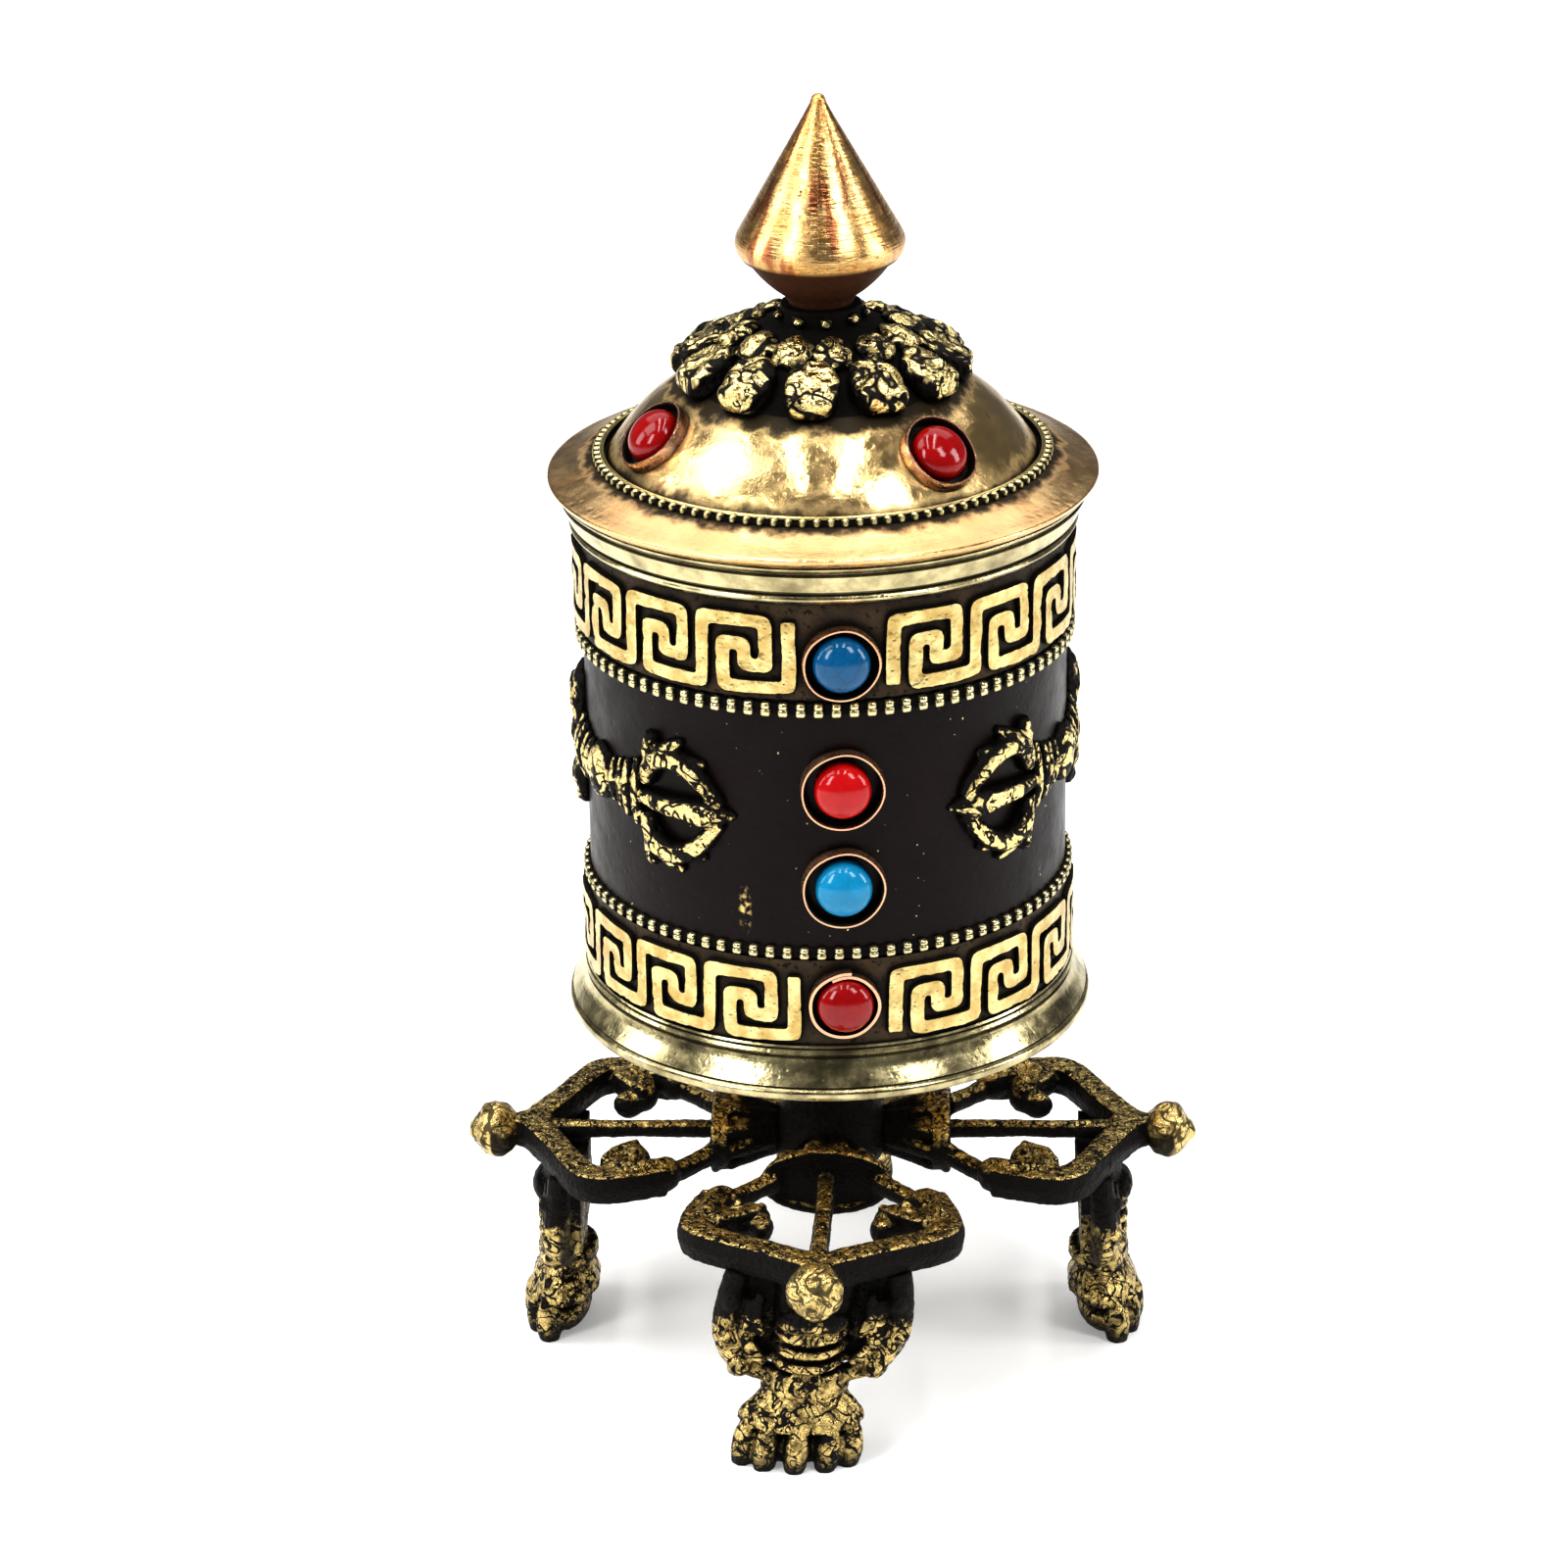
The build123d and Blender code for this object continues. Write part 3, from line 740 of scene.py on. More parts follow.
def dark_shell_material():
    """Satin black-brown patina over sheet metal, with tiny bright specks, soft clouds and a small smear worn
    bright.
    """
    material, tree, shader = new_material("dark drum sheet")
    spot = use(tree, "Millimetres")
    cloud = patchy(tree, spot, 9.0, 0.5, 0.3)
    deep = darker(colours().shell_dark, 0.45)
    colour = blend(tree, cloud, colours().shell_dark, deep)
    speck = patchy(tree, spot, 0.55, 0.20, 0.015, Detail=1.0)
    colour = blend(tree, times(tree, speck, 0.8), colour, colours().fret_brass)
    smear_place = outwards(SMEAR_TURN) * SHELL_R + Vector((0, 0, SMEAR_HEIGHT))
    away = vectors(tree, "SUBTRACT", spot["Place"], smear_place)[0]
    squeezed = vectors(tree, "MULTIPLY", away, (1.6, 1.0, 0.42))[0]
    distance = vectors(tree, "LENGTH", squeezed)["Value"]
    ragged = patchy(tree, spot, 0.9, 0.45, 0.06)
    smear = times(tree, ramp(tree, distance, 0.3, 1.3, 1.0, 0.0), ragged)
    colour = blend(tree, smear, colour, colours().cast_gold)
    rough = ramp(tree, patchy(tree, spot, 4.0, 0.5, 0.3), 0.0, 1.0, 0.30, 0.46)
    skin = use(tree, "Cast Grain", Place=spot["Place"], Size=1.4)
    metallic = larger(tree, speck, smear)
    wire(
        tree, shader, Base_Color=colour, Roughness=rough,
        Metallic=plus(tree, times(tree, metallic, 0.8), 0.1),
    )
    wire(tree, shader, Normal=bump(tree, skin["Height"], 0.05))
    wire(tree, shader, Coat_Weight=0.03, Coat_Roughness=0.2, IOR=1.22)
    return material


def build_finishes():
    """Every finish of the object by name."""
    c = colours()
    build_groups()
    return {
        "pale": metal(
            "pale moulding brass", c.pale_brass, c.cast_brown, c.black, reach=0.9, depth=0.55,
            patches=(5.0, 0.48, 0.7), flecks=(0.8, 0.16), rough=(0.12, 0.34), grain=(0.9, 0.03),
            marks=(5.0, 0.015),
        ),
        "fret": metal(
            "fretwork brass", c.fret_brass, c.fret_tarnish, c.black, reach=0.8, depth=0.40,
            patches=(2.2, 0.52, 0.9), flecks=(0.6, 0.30), rough=(0.16, 0.36), grain=(0.7, 0.10),
            lit_and_rubbed=(0.0, 1.0, 0.75, 0.96, 0.95),
        ),
        "ground": metal(
            "band ground", c.cast_brown, c.black, c.black, reach=1.5, depth=0.7, patches=(3.0, 0.5, 0.9),
            flecks=(0.7, 0.4), rough=(0.3, 0.5), grain=(0.8, 0.05),
        ),
        "wire": metal(
            "beaded wire brass", c.wire_brass, c.cast_gold, c.black, reach=0.6, depth=0.55,
            patches=(4.0, 0.45, 0.6), flecks=(0.5, 0.22), rough=(0.16, 0.3), grain=(0.6, 0.04),
            lit_and_rubbed=(1.1, 1.0, 0.5, 0.95, 0.9),
        ),
        # The arms and the hub take a painted shadow towards the axis, under the drum.
        "arm": metal(
            "antique cast brass of the arms", c.cast_gold, c.cast_brown, c.black, reach=3.0, depth=0.45,
            patches=(0.9, 0.50, 0.85), flecks=(0.42, 0.22), rough=(0.14, 0.34), grain=(0.6, 0.36), lift=0.9,
            lit_and_rubbed=(1.0, 0.44, 0.40, 0.84, 0.96), cracks=(1.0, 0.92), contrast=0.84, extra=painted_shadow_under_drum(),
        ),
        # The legs take painted shade high up, under the arms.
        "cast": metal(
            "antique cast brass of the legs", c.cast_gold, c.cast_brown, c.black, reach=3.0, depth=0.55,
            patches=(1.1, 0.47, 0.85), flecks=(0.6, 0.20), rough=(0.12, 0.32), grain=(0.8, 0.38), lift=0.9,
            lit_and_rubbed=(1.0, 1.0, -0.30, 0.60, 0.72), cracks=(1.5, 0.9), contrast=0.84, extra=painted_shade_under_arms(),
        ),
        "knob": metal(
            "rubbed brass of the knobs", c.cast_gold, c.cast_brown, c.black, reach=1.4, depth=0.5,
            patches=(1.2, 0.44, 0.8), flecks=(0.5, 0.14), rough=(0.12, 0.30), grain=(0.9, 0.30), lift=0.8,
            cracks=(2.4, 0.8), lit_and_rubbed=(1.0, 1.0, 0.05, 0.55, 0.9),
        ),
        "relief": metal(
            "cast relief brass", c.relief_gold, c.cast_gold, c.black, reach=1.8, depth=0.60,
            patches=(1.5, 0.45, 0.8), flecks=(1.1, 0.30), rough=(0.12, 0.30), grain=(1.1, 0.36), lift=0.6,
            lit_and_rubbed=(0.25, 1.0, 0.66, 0.94, 0.97), cracks=(2.4, 0.9), contrast=0.8,
        ),
        "petal": metal(
            "petal brass", c.relief_gold, c.cast_gold, c.black, reach=2.4, depth=0.60,
            patches=(1.8, 0.42, 0.6), flecks=(1.8, 0.34), rough=(0.06, 0.20), grain=(1.7, 0.55), lift=0.6,
            lit_and_rubbed=(1.15, 0.9, 0.50, 0.86, 0.97), cracks=(3.4, 0.85), contrast=0.85,
        ),
        # All black, for the gaps between petals, beads and teeth: black dirt, and painted shade in gaps too
        # deep to light.
        "soot_and_shade": metal(
            "soot in the grooves", c.black, c.black, c.black, reach=2.0, depth=0.8, patches=(1.5, 0.7, 1.0),
            flecks=(0.6, 0.7), rough=(0.4, 0.6), grain=(0.5, 0.10),
        ),
        "twist": metal(
            "milled ring brass", c.fret_brass, c.cast_gold, c.black, reach=0.6, depth=0.5,
            patches=(4.0, 0.45, 0.6), flecks=(0.6, 0.2), rough=(0.14, 0.28), grain=(0.6, 0.03),
            lit_and_rubbed=(1.1, 0.8, 0.5, 0.9, 0.9),
        ),
        "dome": metal(
            "dome bronze", c.dome_bronze, c.cast_gold, c.black, reach=2.6, depth=0.45,
            patches=(7.0, 0.42, 0.6), flecks=(1.3, 0.12), rough=(0.10, 0.28), grain=(1.6, 0.05),
            marks=(3.0, 0.02), extra=dome_blotches_and_painted_shade(),
        ),
        "brim": metal(
            "brim copper", c.brim_copper, c.copper_orange, c.black, reach=1.8, depth=0.40,
            patches=(6.0, 0.46, 0.45), flecks=(1.1, 0.12), rough=(0.17, 0.34), grain=(1.6, 0.05),
            marks=(3.0, 0.03), extra=brim_dark_beside_ring(),
        ),
        "finial": metal(
            "finial copper", c.finial_copper, c.dome_bronze, c.copper_dark, reach=1.2, depth=0.4,
            patches=(4.0, 0.5, 0.8), flecks=(1.4, 0.30), rough=(0.16, 0.34), grain=(1.2, 0.03),
            marks=(4.5, 0.11), contrast=0.82, extra=finial_patina(),
        ),
        "collar": metal(
            "collar copper strip", c.collar_copper, c.dome_bronze, c.black, reach=1.6, depth=0.62,
            patches=(2.0, 0.45, 0.6), flecks=(0.5, 0.24), rough=(0.18, 0.34), grain=(0.6, 0.05),
        ),
        "plain": metal(
            "plain turned brass", c.dome_bronze, c.cast_gold, c.black, reach=0.8, depth=0.5,
            marks=(6.0, 0.03),
        ),
        "steel": metal(
            "spindle steel", c.steel, c.cast_brown, c.black, reach=0.8, depth=0.5, patches=(4.0, 0.3, 0.4),
            marks=(9.0, 0.03),
        ),
        "shell": dark_shell_material(), "coral": stone("coral", c.coral, (0.32, 0.004, 0.006, 1), 0.25),
        "crimson": stone("crimson coral", c.crimson, (0.10, 0.002, 0.004, 1), 0.35),
        "deep_blue": stone("deep turquoise", c.deep_blue, (0.002, 0.03, 0.07, 1), 0.5),
        "light_blue": stone("light turquoise", c.light_blue, (0.01, 0.10, 0.18, 1), 0.25),
        "paper": paper_material(), "thread": thread_material(),
    }


def dome_blotches_and_painted_shade():
    """Copper blotches over the dome, painted shade under the petals, and a darker foot beside the milled
    ring.
    """
    def build(tree, spot, colour):
        blotch = patchy(tree, spot, 4.5, 0.34, 0.05)
        colour = blend(tree, times(tree, blotch, 0.55), colour, colours().copper_red)
        wobble = patchy(tree, spot, 2.6, 0.5, 0.3)
        foot = ramp(tree, plus(tree, spot["Radius"], times(tree, wobble, 1.3)), 20.7, 22.6)
        # painted shade under the petals of the cap
        crown = ramp(tree, minus(tree, spot["Radius"], times(tree, wobble, 1.8)), 13.6, 15.4, 1.0, 0.0)
        return colour, times(tree, larger(tree, foot, crown), 0.9)
    return build


def painted_shadow_under_drum():
    """Painted shadow: the stand goes dark towards the axis, under the drum."""
    def build(tree, spot, colour):
        wobble = patchy(tree, spot, 2.0, 0.5, 0.3)
        # painted shadow, full near the axis and gone by about 11 mm out
        near = ramp(tree, minus(tree, spot["Radius"], times(tree, wobble, 2.0)), 7.0, 11.0, 0.96, 0.0)
        return colour, near
    return build


def painted_shade_under_arms():
    """Painted shade on the legs, high up, where the arms shade them."""
    def build(tree, spot, colour):
        wobble = patchy(tree, spot, 1.6, 0.5, 0.25)
        shade = ramp(tree, plus(tree, spot["Height"], times(tree, wobble, 3.0)), 16.6, 18.4, 0.0, 0.97)
        return colour, shade
    return build


def brim_dark_beside_ring():
    """The brim darker beside the beaded ring."""
    def build(tree, spot, colour):
        wobble = patchy(tree, spot, 2.2, 0.5, 0.3)
        inner = ramp(tree, minus(tree, spot["Radius"], times(tree, wobble, 1.4)), 22.6, 24.4, 1.0, 0.0)
        return colour, times(tree, inner, 0.92)
    return build


def finial_patina():
    """Red-brown streaks down the cone and a darker bowl."""
    def build(tree, spot, colour):
        turn, height = times(tree, spot["Turn"], 3.0), times(tree, spot["Height"], 0.10)
        around = node(tree, "ShaderNodeCombineXYZ", {0: turn, 1: height}).outputs[0]
        streak = noise(tree, around, 1.3, 5.0)
        colour = blend(tree, ramp(tree, streak, 0.52, 0.64, 0.0, 0.85), colour, colours().copper_red)
        bowl = ramp(tree, spot["Height"], low("finial") + 4.7, low("finial") + 5.5, 0.80, 0.0)
        return colour, bowl
    return build


FINISHES = {}


# ---------------------------------------------------------------- lid
class PieceOperator(bpy.types.Operator):
    """Base of the operators that model a piece"""

    bl_options = {"REGISTER", "UNDO"}

    def execute(self, context):
        self.model()
        clear_selection()
        return {"FINISHED"}


class PRAYERWHEEL_OT_finial(PieceOperator):
    """Model the pointed knob"""

    bl_idname = "prayer_wheel.finial"
    bl_label = "Finial"

    def model(self):
        foot, tip = low("finial"), high("finial")
        wide = high("finial", 0)
        wide_z = foot + 6.2
        profile = [(1.5, foot), (3.2, foot), (3.45, foot + 0.5)]
        profile += flowing([(3.7, foot + 0.9), (5.0, foot + 1.9), (6.3, foot + 3.2), (7.35, foot + 4.6)], 4)
        profile += [(7.6, foot + 4.8), (7.8, foot + 4.7), (7.95, foot + 4.9)]
        profile += flowing([(8.25, foot + 5.3), (wide, wide_z - 0.1), (wide - 0.05, wide_z + 0.45)], 4)
        profile += [(wide - 0.25, wide_z + 0.95)]
        profile += [
            (wide - 0.25 - step * 0.96, wide_z + 0.95 + step * (tip - 1.0 - wide_z - 0.95) / 7.7)
            for step in range(1, 8)
        ]
        profile += flowing([(0.85, tip - 1.0), (0.55, tip - 0.25), (0.0, tip)], 4)
        profile += [(0.0, foot + 4.4), (1.5, foot + 4.4), (1.5, foot)]
        knob = lathe("knob", profile, steps=128)
        finish(knob, "finial_turned", FINISHES["finial"], LID, "finial", smooth=50, slot="finial_copper")


class PRAYERWHEEL_OT_lotus_cap(PieceOperator):
    """Model the cast lotus over the dome"""

    bl_idname = "prayer_wheel.lotus_cap"
    bl_label = "Lotus Cap"

    def model(self):
        count = sizes().petals
        top = high("lotus_cap")
        # A black ground under the petals: dirt, and painted shade between them.
        ground = lathe(
            "ground",
            [
                (2.0, top - 4.4), (9.0, top - 6.4), (12.6, top - 8.2), (13.6, top - 7.6), (10.4, top - 4.3),
                (6.6, top - 2.4), (4.2, top - 1.6), (4.0, top - 0.1), (2.0, top - 0.1), (2.0, top - 4.4),
            ],
            steps=96,
        )
        roughen(ground, 1.4, 0.3)
        finish(
            ground, "lotus_cap_ground", FINISHES["soot_and_shade"], LID, "lotus_cap", smooth=60,
            slot="applique_brass",
        )
        parts = []
        for step in range(count):
            parts.append(self.petal(360 * step / count - 3.8, random.Random(step)))
            parts.append(self.inner_petal(360 * (step + 0.5) / count - 3.8, random.Random(100 + step)))
        for step in range(9):
            angle = 2 * pi * (step + 0.3) / 9
            parts.append(
                ball(
                    0.7, (4.2 * sin(angle), 4.2 * cos(angle), top - 1.1), (1.1, 1.1, 0.8), segments=12,
                    rings=8,
                )
            )
        cap = join(parts, "cap")
        cast(cap, 0.2, smooth=1, grains=((2.2, 0.75), (1.0, 0.26)))
        finish(cap, "lotus_cap_petals", FINISHES["petal"], LID, "lotus_cap", smooth=60, slot="applique_brass")

    def petal(self, degrees, chance):
        """One outer petal: a thick nugget with a hammered top that ends in an upright face."""
        top = high("lotus_cap")
        slope = radians(28)
        body = block((5.5, 5.8, 2.6), (0, -12.5, top - 5.5), 1.15, (slope, 0, 0), 0.34, rounds=4, cuts=3)
        lumps = [
            ball(1.0, (chance.uniform(-0.5, 0.5), -10.6, top - 4.0), (1.8, 1.3, 0.9), (slope, 0, 0), 14, 8),
            ball(1.0, (-1.3, -13.2, top - 5.1), (1.0, 1.1, 0.9), (slope, 0, 0), 14, 8),
            ball(1.0, (1.3, -13.0, top - 5.0), (1.0, 1.2, 0.9), (slope, 0, 0), 14, 8),
        ]
        shape = join([body, *lumps], "petal")
        level(shape, 1, -15.0, 0.0)
        level(shape, 2, top - 8.6, top)
        shape.data.transform(Matrix.Rotation(radians(degrees + chance.uniform(-1.8, 1.8)), 4, "Z"))
        return shape

    def inner_petal(self, degrees, chance):
        """One of the smaller petals near the neck."""
        top = high("lotus_cap")
        shape = ball(1.0, (0, -8.2, top - 3.0), (2.1, 2.3, 1.05), (radians(26), 0, 0), 16, 8)
        tip = ball(1.0, (0, -9.6, top - 3.5), (1.3, 0.9, 0.9), segments=12, rings=8)
        shape = join([shape, tip], "petal")
        shape.data.transform(Matrix.Rotation(radians(degrees + chance.uniform(-2, 2)), 4, "Z"))
        return shape


class PRAYERWHEEL_OT_lid(PieceOperator):
    """Model the lid's brim, dome and milled ring"""

    bl_idname = "prayer_wheel.lid"
    bl_label = "Lid"

    def model(self):
        self.brim()
        self.dome()
        self.milled_ring()

    def brim(self):
        rim = high("lid_plate", 0)
        top = high("lid_plate")
        under = low("lid_plate") + 2.85
        skirt = SHELL_R - 1.15
        profile = [
            (3.0, under), (skirt - 1.0, under), (skirt - 1.0, under - 2.85), (skirt, under - 2.85),
            (skirt, under),
        ]
        profile += [(rim - 0.9, under), (rim - 0.25, under + 0.45)]
        profile += flowing(
            [(rim, under + 0.85), (rim - 0.2, under + 1.15), (rim - 2.0, top - 1.0), (23.4, top)], 6,
        )
        profile += [(3.0, top), (3.0, under)]
        brim = lathe("brim", profile, steps=200, bevel=0.12)
        roughen(brim, 7.0, 0.12)
        finish(brim, "lid_brim_spun", FINISHES["brim"], LID, "lid_plate", smooth=40, slot="brim_copper")

    def dome(self):
        foot = low("lid_dome")
        outline = [
            (21.7, foot), (20.4, foot + 2.0), (18.4, foot + 4.3), (15.9, foot + 6.4), (12.5, foot + 8.7),
            (8.6, foot + 10.8), (4.5, foot + 12.0), (1.5, foot + 12.4),
        ]
        profile = flowing(outline, 6)
        profile += [(r * 0.955, z - 1.0) for r, z in reversed(outline[1:-1])]
        profile += [(20.7, foot), (21.7, foot)]
        dome = lathe("dome", profile, steps=200)
        roughen(dome, 5.0, 0.16)
        finish(dome, "lid_dome_spun", FINISHES["dome"], LID, "lid_dome", smooth=45, slot="dome_bronze")

    def milled_ring(self):
        radius = high("lid_bead_wire", 0) - 0.55
        height = high("lid_bead_wire") - 0.62
        bead = block((0.78, 1.15, 1.1), (0, -radius - 0.05, height), 0.28)
        ring = ring_of(bead, sizes().lid_beads, "ring")
        inner = [
            (radius - 0.32 + 0.26 * cos(radians(a)), height + 0.36 + 0.26 * sin(radians(a)))
            for a in range(0, 361, 45)
        ]
        ring = join([ring, lathe("thread", inner, steps=160)], "ring")
        finish(ring, "lid_milled_ring", FINISHES["twist"], LID, "lid_bead_wire", smooth=60, slot="wire_brass")
        # A black core in the groove under the teeth: dirt, and painted shade between them.
        core = lathe(
            "core",
            [
                (radius - 0.5, height - 0.5), (radius + 0.45, height - 0.5), (radius + 0.25, height + 0.16),
                (radius - 0.3, height + 0.16), (radius - 0.5, height - 0.5),
            ],
            steps=120,
        )
        finish(
            core, "lid_milled_ring_groove", FINISHES["soot_and_shade"], LID, "lid_bead_wire", smooth=60,
            slot="wire_brass",
        )


# ---------------------------------------------------------------- drum
class PRAYERWHEEL_OT_drum(PieceOperator):
    """Model the drum's dark sheet and its two mouldings"""

    bl_idname = "prayer_wheel.drum"
    bl_label = "Drum"

    def model(self):
        self.sheet()
        self.top_moulding()
        self.base_moulding()

    def sheet(self):
        bottom, top = low("drum_shell"), high("drum_shell")
        profile = [(SHELL_R - 1, bottom), (SHELL_R, bottom)]
        profile += [(SHELL_R, bottom + (top - bottom) * step / 8) for step in range(1, 9)]
        profile += [(SHELL_R - 1, top), (SHELL_R - 1, bottom)]
        tube = lathe("tube", profile, steps=200)
        finish(tube, "drum_dark_sheet", FINISHES["shell"], WHEEL, "drum_shell", slot="dark_shell")

    def top_moulding(self):
        r, z, rim = SHELL_R, low("top_moulding"), high("top_moulding", 0)
        top = high("top_moulding")
        profile = [(r, z), (r + 0.75, z)]
        profile += flowing([(r + 1.0, z + 0.25), (r + 1.15, z + 0.55), (r + 0.95, z + 0.85)], 3)
        profile += [(r + 0.75, z + 0.95), (r + 0.8, z + 1.2)]
        profile += flowing(
            [(r + 1.2, z + 1.35), (r + 1.45, z + 1.9), (r + 1.75, z + 2.6), (r + 1.95, z + 3.1)], 4,
        )
        profile += [(r + 1.7, z + 3.3), (r + 1.75, z + 3.45)]
        profile += flowing([(r + 2.0, z + 3.6), (rim, top - 0.15), (rim, top)], 3)
        profile += [(r - 1, top), (r - 1, top - 0.6), (r, top - 0.6), (r, z)]
        ring = lathe("moulding", profile, steps=200)
        finish(
            ring, "top_moulding_spun", FINISHES["pale"], WHEEL, "top_moulding", smooth=32,
            slot="pale_brass",
        )

    def base_moulding(self):
        r, z, rim = SHELL_R, low("base_moulding"), high("base_moulding", 0)
        top = high("base_moulding")
        lip = r - 2.4
        profile = [(lip, z), (rim - 0.35, z)]
        profile += flowing(
            [(rim - 0.15, z + 0.15), (rim, z + 0.55), (rim - 0.05, z + 0.95), (rim - 0.3, z + 1.2)], 4,
        )
        profile += [(rim - 0.5, z + 1.28)]
        profile += flowing(
            [(rim - 0.35, z + 1.45), (rim - 0.85, z + 2.2), (rim - 1.45, z + 3.1), (rim - 1.75, z + 3.9)],
            4,
        )
        profile += [
            (r + 0.62, z + 4.05), (r + 0.8, z + 4.3), (r + 1.0, z + 4.55), (r + 0.85, z + 4.85),
            (r + 0.6, z + 4.95),
        ]
        profile += [(r + 0.75, z + 5.1), (r + 0.65, top), (r, top), (r, z + 1.5), (lip, z + 1.5), (lip, z)]
        ring = lathe("moulding", profile, steps=200)
        finish(
            ring, "base_moulding_spun", FINISHES["pale"], WHEEL, "base_moulding", smooth=32,
            slot="pale_brass",
        )


class PRAYERWHEEL_OT_bands(PieceOperator):
    """Model the two bands of raised fretwork on their dark grounds"""

    bl_idname = "prayer_wheel.bands"
    bl_label = "Fretwork Bands"

    def model(self):
        self.band("upper_band", 0.55, 1.25)
        self.band("lower_band", 0.45, 0.95)

    def band(self, node_name, below, above):
        bottom, top = low(node_name), high(node_name)
        ground = lathe(
            "ground",
            [(SHELL_R, bottom), (GROUND_R, bottom), (GROUND_R, top), (SHELL_R, top), (SHELL_R, bottom)],
            steps=160,
        )
        finish(ground, f"{node_name}_ground", FINISHES["ground"], WHEEL, node_name, slot="band_brass")
        turns = sorted(turn_of(f"coral_middle_{number}") % 360 for number in COLUMNS)
        ends = turns[1:] + [turns[0] + 360]
        for number, (start, end) in enumerate(zip(turns, ends), 1):
            margin = 9.8
            width = radians(end - start - 2 * margin) * SHELL_R
            fret = self.fretwork(width, bottom + below, top - above, number)
            wrap_round_drum(fret, GROUND_R, (start + end) / 2)
            finish(
                fret, f"{node_name}_fret_{number}", FINISHES["fret"], WHEEL, node_name, smooth=50,
                slot="band_brass",
            )

    KEY = ((0, 0), (0, 3), (3, 3), (3, 1), (2, 1), (2, 2), (1, 2), (1, 0), (4, 0))

    def fretwork(self, width, bottom, top, seed):
        """A flat running key, its middle at x = 0."""
        stroke = sizes().fret_stroke
        count = max(2, round(width / sizes().fret_pitch))
        step_x = (width - 2 * stroke) / (4 * count)
        step_y = (top - bottom - 2 * stroke) / 3
        corners = []
        for index in range(count):
            corners += [(column + 4 * index, row) for column, row in self.KEY[:-1]]
        corners += [(4 * count, 0), (4 * count, 3)]
        chance = random.Random(seed)
        points = []
        for column, row in corners:
            x = -width / 2 + stroke + column * step_x + chance.uniform(-0.09, 0.09)
            points.append((x, bottom + stroke + row * step_y + chance.uniform(-0.09, 0.09)))
        line = self.square(points)
        fret = bar([(x, y, 0.0) for x, y in line], [stroke * chance.uniform(0.94, 1.1) for _ in line], 2.2)
        modify(fret, "REMESH", mode="VOXEL", voxel_size=0.17, adaptivity=0.0)
        level(fret, 2, -0.25, BAND_R - GROUND_R - 0.04)
        modify(fret, "SMOOTH", factor=0.5, iterations=1)
        roughen(fret, 1.9, 0.30)
        roughen(fret, 0.7, 0.10)
        level(fret, 2, -0.25, BAND_R - GROUND_R)
        return fret

    def square(self, corners):
        """The corners, with two points close beside each, so that a smooth line keeps them square."""
        line = [corners[0]]
        for before, corner, after in zip(corners, corners[1:], corners[2:]):
            for other in (before, after):
                step = (Vector(other) - Vector(corner)).normalized() * 0.2
                line.append(tuple(Vector(corner) + step))
        line.append(corners[-1])
        return line


class PRAYERWHEEL_OT_bead_wires(PieceOperator):
    """Model the two beaded rings round the drum"""

    bl_idname = "prayer_wheel.bead_wires"
    bl_label = "Beaded Rings"

    def model(self):
        for node_name in ("upper_bead_wire", "lower_bead_wire"):
            height = middle(node_name).z
            tall = high(node_name) - low(node_name)
            reach = high(node_name, 0) - SHELL_R
            beads = ring_of(self.pad(tall, reach, height), sizes().wire_beads, "beads")
            finish(
                beads, f"{node_name}_beads", FINISHES["wire"], WHEEL, node_name, smooth=50,
                slot="wire_brass",
            )
            # A black core behind the beads: dirt, and painted shade in the gaps between them.
            inner, outer, half = SHELL_R, SHELL_R + reach * 0.42, tall * 0.42
            core = lathe(
                "core",
                [
                    (inner, height - half), (outer, height - half * 0.8), (outer, height + half * 0.8),
                    (inner, height + half), (inner, height - half),
                ],
                steps=120,
            )
            finish(
                core, f"{node_name}_core", FINISHES["soot_and_shade"], WHEEL, node_name, smooth=50, slot="wire_brass",
            )

    def pad(self, tall, reach, height):
        """One squarish bead with rounded edges and a groove across its middle."""
        width = 1.04
        lower = block(
            (width, reach * 1.05, tall * 0.55), (0, -(SHELL_R + reach * 0.42), height - tall * 0.22), 0.2,
        )
        upper = block(
            (width * 0.92, reach * 1.15, tall * 0.5), (0, -(SHELL_R + reach * 0.4), height + tall * 0.2),
            0.22,
        )
        return join([lower, upper], "pad")


